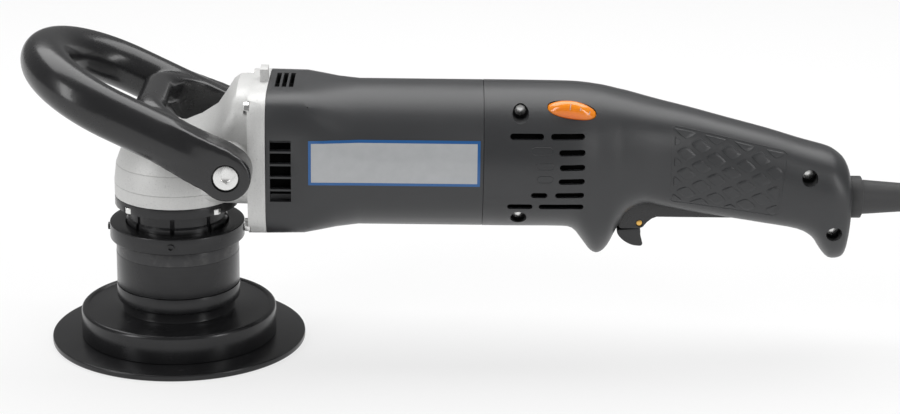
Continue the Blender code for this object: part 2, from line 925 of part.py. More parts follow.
def gear_housing():
    bottom = casting_bottom()
    height = DOME_TOP - bottom
    profile = [(0.0, DOME_TOP)]
    profile += [(DOME_R * r, bottom + height * h) for r, h in DOME_PROFILE_SHARES]
    profile += [(DOME_R, bottom), (0.0, bottom)]
    housing = turned("gear_housing", profile)
    stations = []
    throat_top = AXIS_Z + BARREL_R
    floor = bottom + SEAT_GAP * 2
    for x, top, width, squareness in THROAT_STATION_SHARES:
        high = bottom + (throat_top - bottom) * top
        middle = (high + floor) / 2
        section = rounded_section(
            DOME_R * width, high, floor, middle, squareness, squareness * 2, THROAT_SIDES
        )
        stations.append((FLANGE_FRONT * x, section))
    stations[-1] = (FLANGE_FRONT + OVERRUN, stations[-1][1])
    boolean(housing, lofted("throat", stations, CUTTERS), "UNION")
    rear = HOUSING_FRONT - SEAT_GAP
    plate = [
        (FLANGE_FRONT, square_section(BARREL_R, FLANGE_SQUARENESS, HOUSING_SIDES)),
        (rear, square_section(BARREL_R, FLANGE_SQUARENESS, HOUSING_SIDES)),
    ]
    boolean(housing, lofted("motor_flange", plate, CUTTERS), "UNION")

    def lug(shape):
        top = AXIS_Z + BARREL_R
        add_box(
            shape,
            (rear - FLANGE_LUG_T, -FLANGE_LUG_W / 2, top - FLANGE_LUG_H),
            (rear - SEAT_GAP, FLANGE_LUG_W / 2, top + FLANGE_LUG_H),
        )

    def bosses(shape):
        for side in (-1.0, 1.0):
            face = Vector((PIVOT_X, side * boss_face(), PIVOT_Z))
            root = Vector((PIVOT_X, side * DOME_R * 0.7, PIVOT_Z))
            add_rod(shape, root, face, PIVOT_BOSS_R, MEDIUM_STEPS)

    boolean(housing, solid("flange_lug", lug, CUTTERS), "UNION")
    boolean(housing, solid("pivot_bosses", bosses, CUTTERS), "UNION")
    hollow_out(housing)
    return give(housing, "cast_aluminium")


def boss_face():
    return FORK_HALF_GAP - SEAT_GAP


def hollow_out(housing):
    bottom = casting_bottom()
    spigot_top = flange_top() + SPIGOT_H + SEAT_GAP
    gear_room = AXIS_Z - GEAR_MODULE
    cavity = turned(
        "gear_cavity",
        [
            (0.0, SPINDLE_TOP + TOP_BUSH_GAP),
            (TOP_BUSH_R + SEAT_GAP, SPINDLE_TOP + TOP_BUSH_GAP),
            (TOP_BUSH_R + SEAT_GAP, bush_bottom()),
            (CASTING_WALL_R * 0.45, bush_bottom()),
            (CASTING_WALL_R * 0.86, gear_room),
            (CASTING_WALL_R, gear_room - GEAR_MODULE * 2),
            (CASTING_WALL_R, spigot_top),
            (SPIGOT_R + SEAT_GAP, spigot_top),
            (SPIGOT_R + SEAT_GAP, bottom - OVERRUN),
            (0.0, bottom - OVERRUN),
        ],
        into=CUTTERS,
    )
    boolean(housing, cavity)
    rear = HOUSING_FRONT + OVERRUN
    seat = FRONT_BEARING_R + SEAT_GAP
    bore = turned(
        "front_bearing_bore",
        [
            (0.0, rear),
            (seat, rear),
            (seat, FRONT_BEARING_X - SEAT_GAP),
            (PINION_ROOM_R, FRONT_BEARING_X - SEAT_GAP),
            (PINION_ROOM_R, PINION_ROOM_X),
            (0.0, PINION_ROOM_X),
        ],
        at=AXIS,
        direction=ALONG,
        steps=MEDIUM_STEPS,
        into=CUTTERS,
    )
    boolean(housing, bore)

    def holes(shape):
        for place in flange_screw_places():
            top = flange_screw_seat() + FLANGE_SCREW_LENGTH + SEAT_GAP
            add_rod(
                shape,
                place + UP * (bottom - OVERRUN),
                place + UP * top,
                FLANGE_SCREW_R + SCREW_HOLE_GAP,
            )
        for side in (-1.0, 1.0):
            inner = Vector((PIVOT_X, side * (boss_face() - BOLT_REACH - SEAT_GAP), PIVOT_Z))
            outer = Vector((PIVOT_X, side * (boss_face() + OVERRUN), PIVOT_Z))
            add_rod(shape, inner, outer, BOLT_R + SCREW_HOLE_GAP, MEDIUM_STEPS)

    boolean(housing, solid("casting_holes", holes, CUTTERS))

    def screw_pockets(shape):
        for place in housing_screw_places():
            pocket = HOUSING_SCREW_HEAD_R + SCREW_POCKET_GAP
            front = place - ALONG * (FLANGE_FRONT * 0.45)
            add_rod(shape, front, place, pocket, SMALL_STEPS)

    def screw_holes(shape):
        for place in housing_screw_places():
            hole = HOUSING_SCREW_R + SCREW_HOLE_GAP
            add_rod(shape, place - ALONG * OVERRUN, place + ALONG * HOUSING_SCREW_LENGTH, hole)

    boolean(housing, solid("housing_screw_pockets", screw_pockets, CUTTERS))
    boolean(housing, solid("housing_screw_holes", screw_holes, CUTTERS))


def bush_bottom():
    return SPINDLE_TOP - TOP_BUSH_H


def housing_screw_places():
    for y in (-HOUSING_SCREW_Y, HOUSING_SCREW_Y):
        for z in (-HOUSING_SCREW_Z, HOUSING_SCREW_Z):
            yield Vector((FLANGE_FRONT + HOUSING_SCREW_SPOT, y, AXIS_Z + z))


def housing_screws():
    for index, place in enumerate(housing_screw_places(), 1):
        cap_screw(
            f"housing_screw_{index}",
            place - ALONG * SEAT_GAP,
            -ALONG,
            HOUSING_SCREW_HEAD_R,
            HOUSING_SCREW_HEAD_H,
            HOUSING_SCREW_R,
            HOUSING_SCREW_LENGTH,
            "bright_steel",
        )


# Loop handle: a moulded loop, its bridge and the fork that straddles the head
def loop_frame():
    """A frame at the pivot: own x runs up the handle, own y is the machine's Y."""
    up_handle = Matrix.Rotation(math.pi + LOOP_TILT, 4, "Y")
    return Matrix.Translation((PIVOT_X, 0.0, PIVOT_Z)) @ up_handle


def half_turn_points(centre, radius, steps):
    for i in range(steps + 1):
        angle = math.pi / 2 - math.pi * i / steps
        yield centre + radius * math.cos(angle), radius * math.sin(angle)


def loop_handle():
    frame = loop_frame()
    loop = [(0.0, LOOP_HALF_SPAN)]
    loop += list(half_turn_points(LOOP_STRAIGHT, LOOP_HALF_SPAN, LOOP_TURN_STEPS))
    loop += [(0.0, -LOOP_HALF_SPAN)]
    points = [(x, y, -LOOP_OFFSET) for x, y in loop]
    arms = tube("loop_handle", points, LOOP_TUBE_R, 4)
    arms.matrix_world = frame
    handle = meshed(arms, PARTS)
    bridge = []
    for side in (1.0, -1.0):
        corner = []
        for i in range(BRIDGE_TURN_STEPS + 1):
            angle = math.pi / 2 * i / BRIDGE_TURN_STEPS
            x = BRIDGE_REACH - BRIDGE_CORNER_R * (1 - math.sin(angle))
            y = BRIDGE_HALF_SPAN - BRIDGE_CORNER_R * (1 - math.cos(angle))
            corner.append((x, side * y, -LOOP_OFFSET))
        path = [(BRIDGE_START, side * BRIDGE_HALF_SPAN, -LOOP_OFFSET)] + corner
        bridge += path if side > 0 else path[::-1]
    crossing = tube("bridge", bridge, BRIDGE_TUBE_R, 3, CUTTERS)
    crossing.matrix_world = frame
    boolean(handle, meshed(crossing, CUTTERS), "UNION")

    def eyes(shape):
        for side in (-1.0, 1.0):
            inner = frame @ Vector((0.0, side * FORK_HALF_GAP, 0.0))
            outer = frame @ Vector((0.0, side * (LOOP_HALF_SPAN + LOOP_TUBE_R), 0.0))
            add_rod(shape, inner, outer, LOOP_TUBE_R, MEDIUM_STEPS)

    boolean(handle, solid("pivot_eyes", eyes, CUTTERS), "UNION")
    outline = [(-LOOP_TUBE_R - OVERRUN, FORK_HALF_GAP), (FORK_DEPTH - FORK_CORNER_R, FORK_HALF_GAP)]
    for i in range(1, BRIDGE_TURN_STEPS + 1):
        angle = math.pi / 2 * i / BRIDGE_TURN_STEPS
        x = FORK_DEPTH - FORK_CORNER_R * (1 - math.sin(angle))
        outline.append((x, FORK_HALF_GAP - FORK_CORNER_R * (1 - math.cos(angle))))
    outline += [(x, -y) for x, y in reversed(outline)]
    gap = plate_shape("fork_gap", outline, LOOP_TUBE_R * 4, frame, CUTTERS)
    boolean(handle, gap)

    def bolt_holes(shape):
        for side in (-1.0, 1.0):
            face = LOOP_HALF_SPAN + LOOP_TUBE_R
            inner = Vector((PIVOT_X, side * (FORK_HALF_GAP - OVERRUN), PIVOT_Z))
            outer = Vector((PIVOT_X, side * (face + OVERRUN), PIVOT_Z))
            add_rod(shape, inner, outer, BOLT_R + SCREW_HOLE_GAP, MEDIUM_STEPS)

    def bolt_recesses(shape):
        for side in (-1.0, 1.0):
            floor = Vector((PIVOT_X, side * bolt_seat(), PIVOT_Z))
            outer = Vector((PIVOT_X, side * (bolt_seat() + BOLT_RECESS + OVERRUN), PIVOT_Z))
            add_rod(shape, floor, outer, BOLT_RECESS_R, MEDIUM_STEPS)

    boolean(handle, solid("bolt_holes", bolt_holes, CUTTERS))
    boolean(handle, solid("bolt_recesses", bolt_recesses, CUTTERS))
    return give(handle, "black_plastic")


def bolt_seat():
    return LOOP_HALF_SPAN + LOOP_TUBE_R - BOLT_RECESS


def handle_bolts():
    for side, name in ((-1.0, "near"), (1.0, "far")):
        seat = Vector((PIVOT_X, side * (bolt_seat() + SEAT_GAP), PIVOT_Z))
        length = bolt_seat() - boss_face() + BOLT_REACH
        outward = ACROSS * side
        bolt = cap_screw(
            f"handle_bolt_{name}",
            seat,
            outward,
            BOLT_HEAD_R,
            BOLT_HEAD_H,
            BOLT_R,
            length,
            "bright_steel",
        )
        bolt.modifiers["Turn"].steps = MEDIUM_STEPS
        bolt.modifiers["Turn"].render_steps = MEDIUM_STEPS

        def socket(shape, seat=seat, outward=outward):
            floor = seat + outward * (BOLT_HEAD_H - BOLT_HEX_DEPTH)
            add_rod(shape, floor, floor + outward * BOLT_HEAD_H, BOLT_HEX_R, 6)

        boolean(bolt, solid(f"bolt_socket_{name}", socket, CUTTERS))


# Bevel gears
def bevel_gear(name, teeth, mate_teeth, back, bore, matrix):
    """A straight bevel gear. Its apex is the origin and its teeth face own +Z."""
    pitch_angle = math.atan2(teeth, mate_teeth)
    pitch_r = GEAR_MODULE * teeth / 2
    outer = pitch_r / math.sin(pitch_angle)
    inner = outer - GEAR_FACE
    tip = GEAR_MODULE * ADDENDUM_SHARE
    root = -GEAR_MODULE * DEDENDUM_SHARE
    half_pitch = math.pi * GEAR_MODULE / 4 - BACKLASH / 2
    marks = (
        (root, -(half_pitch - root * FLANK_SLOPE)),
        (tip, -(half_pitch - tip * FLANK_SLOPE)),
        (tip, half_pitch - tip * FLANK_SLOPE),
        (root, half_pitch - root * FLANK_SLOPE),
    )

    def place(radius, angle, height):
        return radius * math.cos(angle), radius * math.sin(angle), height

    def tooth_ring(distance):
        share = distance / outer
        for tooth in range(teeth):
            for rise, side in marks:
                angle = math.tau * tooth / teeth + side / pitch_r
                radius = distance * math.sin(pitch_angle) + rise * share * math.cos(pitch_angle)
                height = rise * share * math.sin(pitch_angle) - distance * math.cos(pitch_angle)
                yield place(radius, angle, height)

    def plain_ring(radius, height):
        for tooth in range(teeth):
            for _, side in marks:
                yield place(radius, math.tau * tooth / teeth + side / pitch_r, height)

    rim = outer * math.sin(pitch_angle) + root * math.cos(pitch_angle)
    low = root * math.sin(pitch_angle) - outer * math.cos(pitch_angle)
    top = root * inner / outer * math.sin(pitch_angle) - inner * math.cos(pitch_angle)
    rings = [
        list(tooth_ring(outer)),
        list(plain_ring(rim - GEAR_MODULE / 4, low - GEAR_MODULE)),
        list(plain_ring(bore, -back)),
        list(plain_ring(bore, top)),
        list(tooth_ring(inner)),
    ]

    def make(shape):
        made = [[shape.verts.new(point) for point in ring] for ring in rings]
        count = len(made[0])
        for ring, after in zip(made, made[1:] + made[:1]):
            for i in range(count):
                j = (i + 1) % count
                shape.faces.new((ring[i], after[i], after[j], ring[j]))
        bmesh.ops.recalc_face_normals(shape, faces=shape.faces)

    gear = solid(name, make)
    gear.matrix_world = matrix
    return give(gear, "bearing_steel", math.radians(15.0))


def crown_gear():
    matrix = Matrix.Translation(AXIS)
    bore = SPINDLE_GEAR_R + SEAT_GAP
    return bevel_gear("crown_gear", CROWN_TEETH, PINION_TEETH, CROWN_BACK, bore, matrix)


def pinion_back():
    return GEAR_MODULE * CROWN_TEETH / 2 + GEAR_MODULE * 1.6


def pinion():
    matrix = Matrix.Translation(AXIS) @ Matrix.Rotation(math.radians(-90.0), 4, "Y")
    bore = PINION_SHAFT_R + SEAT_GAP
    return bevel_gear("pinion", PINION_TEETH, CROWN_TEETH, pinion_back(), bore, matrix)


# Spindle, bearings and cutter
def bearing_bottom():
    return NECK_WEB_Z + NECK_WEB + SEAT_GAP


def spindle():
    shoulder = bearing_bottom() + BEARING_H + SEAT_GAP
    gear_seat = AXIS_Z - CROWN_BACK - SEAT_GAP
    profile = [
        (0.0, SPINDLE_TOP),
        (SPINDLE_TOP_R, SPINDLE_TOP),
        (SPINDLE_TOP_R, bush_bottom() - SEAT_GAP),
        (SPINDLE_GEAR_R, bush_bottom() - SEAT_GAP),
        (SPINDLE_GEAR_R, gear_seat),
        (SPINDLE_SHOULDER_R, gear_seat),
        (SPINDLE_SHOULDER_R, shoulder),
        (SPINDLE_R, shoulder),
        (SPINDLE_R, cutter_top() + SEAT_GAP + SPINDLE_R),
        (SPINDLE_SHOULDER_R, cutter_top() + SEAT_GAP + SPINDLE_R),
        (SPINDLE_SHOULDER_R, cutter_top() + SEAT_GAP),
        (SPINDLE_NOSE_R, cutter_top() + SEAT_GAP),
        (SPINDLE_NOSE_R, CUTTER_BOTTOM),
        (PILOT_SCREW_R + SCREW_HOLE_GAP, CUTTER_BOTTOM),
        (PILOT_SCREW_R + SCREW_HOLE_GAP, CUTTER_BOTTOM + PILOT_SCREW_LENGTH),
        (0.0, CUTTER_BOTTOM + PILOT_SCREW_LENGTH),
    ]
    return give(turned("spindle", profile, steps=MEDIUM_STEPS), "bearing_steel")


def cutter_top():
    return CUTTER_BOTTOM + CUTTER_H


def bearing(name, outer, bore, width, at, direction):
    profile = [(bore, width), (outer, width), (outer, 0.0), (bore, 0.0)]
    return give(turned(name, profile, at, direction, MEDIUM_STEPS), "bearing_steel")


def spindle_bearings():
    bearing("spindle_bearing", BEARING_R, SPINDLE_R + SEAT_GAP, BEARING_H, UP * bearing_bottom(), UP)
    bearing("spindle_bush", TOP_BUSH_R, SPINDLE_TOP_R + SEAT_GAP, TOP_BUSH_H, UP * bush_bottom(), UP)


def cutter_head():
    top = cutter_top()
    bore = SPINDLE_NOSE_R + SEAT_GAP
    cone_top = CUTTER_BOTTOM + (CUTTER_R - CUTTER_TIP_R)
    profile = [
        (bore, top),
        (CUTTER_R, top),
        (CUTTER_R, cone_top),
        (CUTTER_TIP_R, CUTTER_BOTTOM),
        (bore, CUTTER_BOTTOM),
    ]
    head = turned("cutter_head", profile, steps=MEDIUM_STEPS)

    def pockets(shape):
        for angle in insert_angles():
            add_box(
                shape,
                (-INSERT_SIDE / 2 - INSERT_T, -SEAT_GAP, -INSERT_SIDE / 2 - SEAT_GAP),
                (INSERT_SIDE + OVERRUN, INSERT_T * 2.4, INSERT_SIDE / 2 + INSERT_SIDE),
                Matrix.Rotation(angle, 4, "Z") @ insert_place(),
            )

    boolean(head, solid("insert_pockets", pockets, CUTTERS))
    return give(head, "black_steel")


def insert_angles():
    return [math.tau * i / INSERTS for i in range(INSERTS)]


def insert_place():
    """The middle of an insert's edge on the cone, turned to the cone's slope."""
    radius = (CUTTER_R + CUTTER_TIP_R) / 2 - INSERT_SIDE / 2 * math.cos(math.radians(45.0))
    height = CUTTER_BOTTOM + (CUTTER_R - CUTTER_TIP_R) / 2 + INSERT_SIDE / 2 * math.sin(math.radians(45.0))
    return Matrix.Translation((radius, 0.0, height)) @ Matrix.Rotation(math.radians(45.0), 4, "Y")


def cutter_inserts():
    made = []
    for index, angle in enumerate(insert_angles(), 1):

        def make(shape, angle=angle):
            half = INSERT_SIDE / 2
            add_box(
                shape,
                (-half, SEAT_GAP / 3, -half),
                (half + SEAT_GAP * 3, INSERT_T, half),
                Matrix.Rotation(angle, 4, "Z") @ insert_place(),
            )

        made.append(give(solid(f"cutter_insert_{index}", make), "carbide"))
    return made


def pilot_bearing():
    bottom = CUTTER_BOTTOM - SEAT_GAP - PILOT_H
    return bearing("pilot_bearing", PILOT_R, PILOT_BORE_R, PILOT_H, UP * bottom, UP)


def pilot_screw():
    seat = UP * (CUTTER_BOTTOM - SEAT_GAP * 2 - PILOT_H)
    return cap_screw(
        "pilot_screw",
        seat,
        -UP,
        PILOT_SCREW_HEAD_R,
        PILOT_SCREW_HEAD_H,
        PILOT_SCREW_R,
        PILOT_SCREW_LENGTH,
        "bright_steel",
    )


# Motor
def armature_shaft():
    rear = REAR_BEARING_X + REAR_BEARING_W
    step = pinion_back() + SEAT_GAP
    profile = [
        (0.0, rear),
        (REAR_SHAFT_R, rear),
        (REAR_SHAFT_R, REAR_BEARING_X - SEAT_GAP),
        (CORE_SHAFT_R, REAR_BEARING_X - SEAT_GAP),
        (CORE_SHAFT_R, FAN_X + FAN_W + SEAT_GAP),
        (SHAFT_R, FAN_X + FAN_W + SEAT_GAP),
        (SHAFT_R, step),
        (PINION_SHAFT_R, step),
        (PINION_SHAFT_R, ARMATURE_START),
        (0.0, ARMATURE_START),
    ]
    shaft = turned("armature_shaft", profile, AXIS, ALONG, MEDIUM_STEPS)
    return give(shaft, "bearing_steel")


def armature_core():
    start = CORE_X - WINDING_LENGTH
    end = CORE_X + CORE_LENGTH
    bore = CORE_SHAFT_R + SEAT_GAP
    profile = [
        (bore, end + WINDING_LENGTH),
        (WINDING_R, end + WINDING_LENGTH),
        (WINDING_R, end),
        (CORE_R, end),
        (CORE_R, CORE_X),
        (WINDING_R, CORE_X),
        (WINDING_R, start),
        (bore, start),
    ]
    return give(turned("armature_core", profile, AXIS, ALONG, MEDIUM_STEPS), "laminations")


def commutator():
    bore = CORE_SHAFT_R + SEAT_GAP
    end = COMMUTATOR_X + COMMUTATOR_LENGTH
    profile = [(bore, end), (COMMUTATOR_R, end), (COMMUTATOR_R, COMMUTATOR_X), (bore, COMMUTATOR_X)]
    return give(turned("commutator", profile, AXIS, ALONG, MEDIUM_STEPS), "copper")


def fan():
    hub = SHAFT_R + SEAT_GAP
    end = FAN_X + FAN_W
    profile = [
        (hub, end),
        (FAN_R, end),
        (FAN_R, end - FAN_DISC_T),
        (CORE_SHAFT_R + FAN_DISC_T, end - FAN_DISC_T),
        (CORE_SHAFT_R + FAN_DISC_T, FAN_X),
        (hub, FAN_X),
    ]
    wheel = turned("fan", profile, AXIS, ALONG, MEDIUM_STEPS)

    def blades(shape):
        for i in range(FAN_BLADES):
            turn = Matrix.Translation(AXIS) @ Matrix.Rotation(math.tau * i / FAN_BLADES, 4, "X")
            add_box(
                shape,
                (FAN_X + FAN_DISC_T, -FAN_BLADE_T / 2, CORE_SHAFT_R + FAN_DISC_T * 2),
                (end - FAN_DISC_T / 2, FAN_BLADE_T / 2, FAN_R - FAN_DISC_T / 2),
                turn,
            )

    boolean(wheel, solid("fan_blades", blades, CUTTERS), "UNION")
    return give(wheel, "black_plastic")


def housing_bore():
    return BARREL_R - HOUSING_WALL


def stator():
    end = STATOR_X + STATOR_LENGTH
    outer = housing_bore() - SEAT_GAP
    profile = [(STATOR_BORE_R, end), (outer, end), (outer, STATOR_X), (STATOR_BORE_R, STATOR_X)]
    return give(turned("stator", profile, AXIS, ALONG, MEDIUM_STEPS), "laminations")


def motor_bearings():
    front = AXIS + ALONG * FRONT_BEARING_X
    rear = AXIS + ALONG * REAR_BEARING_X
    bearing("front_bearing", FRONT_BEARING_R, SHAFT_R + SEAT_GAP, FRONT_BEARING_W, front, ALONG)
    bearing("rear_bearing", REAR_BEARING_R, REAR_SHAFT_R + SEAT_GAP, REAR_BEARING_W, rear, ALONG)


def brushes():
    for side, name in ((-1.0, "near"), (1.0, "far")):

        def brush(shape, side=side):
            ends = sorted((side * brush_face(), side * (brush_face() + BRUSH_LENGTH)))
            low = (BRUSH_X, ends[0], AXIS_Z - BRUSH_T / 2)
            add_box(shape, low, (BRUSH_X + BRUSH_W, ends[1], AXIS_Z + BRUSH_T / 2))

        give(solid(f"brush_{name}", brush), "carbon")


def brush_face():
    return COMMUTATOR_R + SEAT_GAP


def add_brush_holders(housing):
    wide = SEAT_GAP + BRUSH_HOLDER_WALL
    tall = BRUSH_T / 2 + SEAT_GAP + BRUSH_HOLDER_WALL
    start = COMMUTATOR_R + BRUSH_HOLDER_WALL

    def holders(shape):
        for side in (-1.0, 1.0):
            ends = sorted((side * start, side * (housing_bore() + HOUSING_WALL / 2)))
            low = (BRUSH_X - wide, ends[0], AXIS_Z - tall)
            add_box(shape, low, (BRUSH_X + BRUSH_W + wide, ends[1], AXIS_Z + tall))

    def channels(shape):
        for side in (-1.0, 1.0):
            ends = sorted((side * (start - OVERRUN), side * (housing_bore() - BRUSH_HOLDER_WALL)))
            half = BRUSH_T / 2 + SEAT_GAP
            low = (BRUSH_X - SEAT_GAP, ends[0], AXIS_Z - half)
            add_box(shape, low, (BRUSH_X + BRUSH_W + SEAT_GAP, ends[1], AXIS_Z + half))

    boolean(housing, solid("brush_holders", holders, CUTTERS), "UNION")
    boolean(housing, solid("brush_channels", channels, CUTTERS))


def motor_housing():
    length = SHELL_FRONT - SEAT_GAP - HOUSING_FRONT
    stations = []
    for x, squareness in HOUSING_STATION_SHARES:
        section = square_section(BARREL_R, squareness, HOUSING_SIDES)
        stations.append((HOUSING_FRONT + length * x, section))
    end = stations[-1][0]
    spigot = (BARREL_R - SHELL_WALL) * math.cos(math.pi / SHELL_SIDES) - SEAT_GAP
    stations.append((end, square_section(spigot, 2.0, HOUSING_SIDES)))
    stations.append((end + SPIGOT_LENGTH, square_section(spigot, 2.0, HOUSING_SIDES)))
    housing = lofted("motor_housing", stations)
    bore = housing_bore()
    wall_end = END_WALL_X + END_WALL
    hub = REAR_BEARING_R + SEAT_GAP
    core = turned(
        "motor_bore",
        [
            (0.0, END_WALL_X),
            (bore, END_WALL_X),
            (bore, HOUSING_FRONT - OVERRUN),
            (0.0, HOUSING_FRONT - OVERRUN),
        ],
        at=AXIS,
        direction=ALONG,
        into=CUTTERS,
    )
    boolean(housing, core)
    rear = turned(
        "spigot_bore",
        [
            (0.0, end + SPIGOT_LENGTH + OVERRUN),
            (spigot - HOUSING_WALL, end + SPIGOT_LENGTH + OVERRUN),
            (spigot - HOUSING_WALL, wall_end),
            (0.0, wall_end),
        ],
        at=AXIS,
        direction=ALONG,
        into=CUTTERS,
    )
    boolean(housing, rear)
    add_brush_holders(housing)

    def openings(shape):
        for i in range(AIR_HOLES):
            turn = Matrix.Rotation(math.tau * (i + 0.5) / AIR_HOLES, 4, "X")
            centre = AXIS + turn @ (UP * AIR_HOLE_RADIUS)
            start = centre + ALONG * (END_WALL_X - OVERRUN)
            add_rod(shape, start, centre + ALONG * (wall_end + OVERRUN), AIR_HOLE_R, SMALL_STEPS)
        start = AXIS + ALONG * (END_WALL_X - OVERRUN)
        add_rod(shape, start, AXIS + ALONG * (wall_end + OVERRUN), hub, MEDIUM_STEPS)
        for place in housing_screw_places():
            reach = HOUSING_SCREW_LENGTH + SEAT_GAP
            hole = HOUSING_SCREW_R + SCREW_HOLE_GAP
            add_rod(shape, place, place + ALONG * reach, hole, SMALL_STEPS)

    boolean(housing, solid("housing_openings", openings, CUTTERS))

    def vents(shape):
        reach = BARREL_R - HOUSING_WALL * 2
        for side in (-1.0, 1.0):
            for i in range(SIDE_VENTS):
                height = AXIS_Z + (i - (SIDE_VENTS - 1) / 2) * SIDE_VENT_PITCH
                ends = sorted((side * reach, side * (BARREL_R + OVERRUN)))
                add_box(
                    shape,
                    (SIDE_VENT_X, ends[0], height - SIDE_VENT_H / 2),
                    (SIDE_VENT_X + SIDE_VENT_W, ends[1], height + SIDE_VENT_H / 2),
                )
        for i in range(TOP_VENTS):
            start = SIDE_VENT_X + TOP_VENT_W / 2 + i * TOP_VENT_PITCH
            add_box(
                shape,
                (start, -TOP_VENT_HALF, AXIS_Z + reach - HOUSING_WALL),
                (start + TOP_VENT_W, TOP_VENT_HALF, AXIS_Z + BARREL_R + OVERRUN),
            )

    boolean(housing, solid("motor_vents", vents, CUTTERS))
    return give(housing, "grey_plastic")


# Rear handle shells
def shell_x(share):
    return SHELL_FRONT + SHELL_LENGTH * share


def shell_stations(inset):
    stations = []
    for x, top, bottom, width, middle, upper, lower in SHELL_STATION_SHARES:
        section = rounded_section(
            BARREL_R * width - inset,
            AXIS_Z + BARREL_R * top - inset,
            AXIS_Z + BARREL_R * bottom + inset,
            AXIS_Z + BARREL_R * middle,
            upper,
            lower,
            SHELL_SIDES,
        )
        place = shell_x(x)
        stations.append((place, section))
    return stations


def shell_body(name):
    """The whole moulding before it is parted: an outer skin, less the same skin set in by the wall."""
    outer = lofted(name, shell_stations(0.0))
    inside = shell_stations(SHELL_WALL)
    inside[0] = (SHELL_FRONT - OVERRUN, inside[0][1])
    inside[-2] = (inside[-2][0] - SHELL_WALL, inside[-2][1])
    inside[-1] = (inside[-1][0] - SHELL_WALL, inside[-1][1])
    boolean(outer, lofted(name + "_core", inside, CUTTERS))
    return outer


def screw_points():
    for name, (x, z, y) in zip(SHELL_SCREW_PLACES, SHELL_SCREW_SHARES):
        yield name, shell_x(x), AXIS_Z + BARREL_R * z, BARREL_R * y


def dial_frame():
    """A frame at the dial's centre: own z is its axle, own x runs along the machine."""
    radial = Vector((0.0, -math.cos(DIAL_ANGLE), math.sin(DIAL_ANGLE)))
    centre = Vector((shell_x(DIAL_SHARE), 0.0, AXIS_Z)) + radial * (BARREL_R + DIAL_PROUD - DIAL_R)
    axle = ALONG.cross(radial)
    turn = Matrix((ALONG, axle.cross(ALONG), axle)).transposed()
    lean = Matrix.Rotation(DIAL_LEAN, 4, radial)
    return Matrix.Translation(centre) @ lean @ turn.to_4x4()


def dial_profile(grow):
    rim = DIAL_R + grow
    half = DIAL_HALF_W + grow
    return [
        (0.0, half),
        (rim * DIAL_RIM_SHARE, half),
        (rim * 0.86, half * 0.66),
        (rim * 0.965, half * 0.34),
        (rim, 0.0),
        (rim * 0.965, -half * 0.34),
        (rim * 0.86, -half * 0.66),
        (rim * DIAL_RIM_SHARE, -half),
        (0.0, -half),
    ]


def speed_dial():
    dial = turned("speed_dial", dial_profile(0.0), steps=MEDIUM_STEPS)
    dial.matrix_world = dial_frame()

    def pins(shape):
        frame = dial_frame()
        for side in (-1.0, 1.0):
            start = frame @ Vector((0.0, 0.0, side * (DIAL_HALF_W - SEAT_GAP)))
            end = frame @ Vector((0.0, 0.0, side * (DIAL_HALF_W + DIAL_PIN_REACH)))
            add_rod(shape, start, end, DIAL_PIN_R, SMALL_STEPS)

    boolean(dial, solid("dial_pins", pins, CUTTERS), "UNION")
    return give(dial, "orange_plastic")


def slot_outline(start, end, height):
    """A slot in the side view with round ends."""
    radius = VENT_H / 2
    points = []
    for centre, turn in ((end - radius, -math.pi / 2), (start + radius, math.pi / 2)):
        for i in range(VENT_ROUND_SIDES // 2 + 1):
            angle = turn + math.pi * i / (VENT_ROUND_SIDES // 2)
            points.append((centre + radius * math.cos(angle), height + radius * math.sin(angle)))
    return points


def half_shell(name, side):
    """One half of the rear handle. Side is -1 for the near half and 1 for the far one."""
    shell = shell_body(name)
    length = SHELL_LENGTH + OVERRUN * 2
    low = AXIS_Z - BARREL_R * 2
    high = AXIS_Z + BARREL_R * 2

    def bosses(shape):
        for _, x, z, _ in screw_points():
            add_rod(shape, (x, -side * OVERRUN, z), (x, side * BARREL_R, z), SHELL_BOSS_R)

    boolean(shell, trimmed_to_shell(name + "_bosses", bosses), "UNION")
    add_shell_ribs(shell, name, side)

    def other_half(shape):
        ends = sorted((side * SEAM_GAP / 2, -side * BARREL_R * 2))
        add_box(
            shape,
            (SHELL_FRONT - length, ends[0], low),
            (SHELL_FRONT + length, ends[1], high),
        )

    boolean(shell, solid(name + "_parting", other_half, CUTTERS))
    cut_shell_features(shell, name, side)
    return give(shell, "grey_plastic")


def trimmed_to_shell(name, make):
    """Inner ribs and bosses, cut to the outer skin so that they end in the wall."""
    ribs = solid(name, make, CUTTERS)
    skin = lofted(name + "_skin", shell_stations(SHELL_WALL / 2), CUTTERS)
    boolean(ribs, skin, "INTERSECT")
    return ribs


def clamp_frames():
    """The two pieces that the shells clamp: name, start, length, middle height, height, half width."""
    yield "switch", SWITCH_X, SWITCH_LENGTH, SWITCH_Z, SWITCH_H, SWITCH_HALF_W
    yield "module", MODULE_X, MODULE_LENGTH, MODULE_Z, MODULE_H, MODULE_HALF_W


def add_shell_ribs(shell, name, side):
    """Ribs that reach in from the wall and hold the switch and the speed module."""

    def ribs(shape):
        for _, start, length, middle, height, _ in clamp_frames():
            reach = height / 2 + SEAT_GAP + RIB_MARGIN
            for x in (start + RIB_INSET, start + length - RIB_INSET - RIB_T):
                ends = sorted((-side * OVERRUN, side * BARREL_R))
                add_box(shape, (x, ends[0], middle - reach), (x + RIB_T, ends[1], middle + reach))
        face = PADDLE_HALF_W + SLIDE_GAP * 2
        pivot = Vector((PADDLE_PIVOT_X, 0.0, PADDLE_PIVOT_Z))
        boss = PADDLE_PIN_R * 3
        start = pivot + ACROSS * side * face
        add_rod(shape, start, pivot + ACROSS * side * BARREL_R, boss, MEDIUM_STEPS)

    boolean(shell, trimmed_to_shell(name + "_ribs", ribs), "UNION")
    if side < 0:
        boolean(shell, trimmed_to_shell(name + "_yoke", dial_yoke), "UNION")


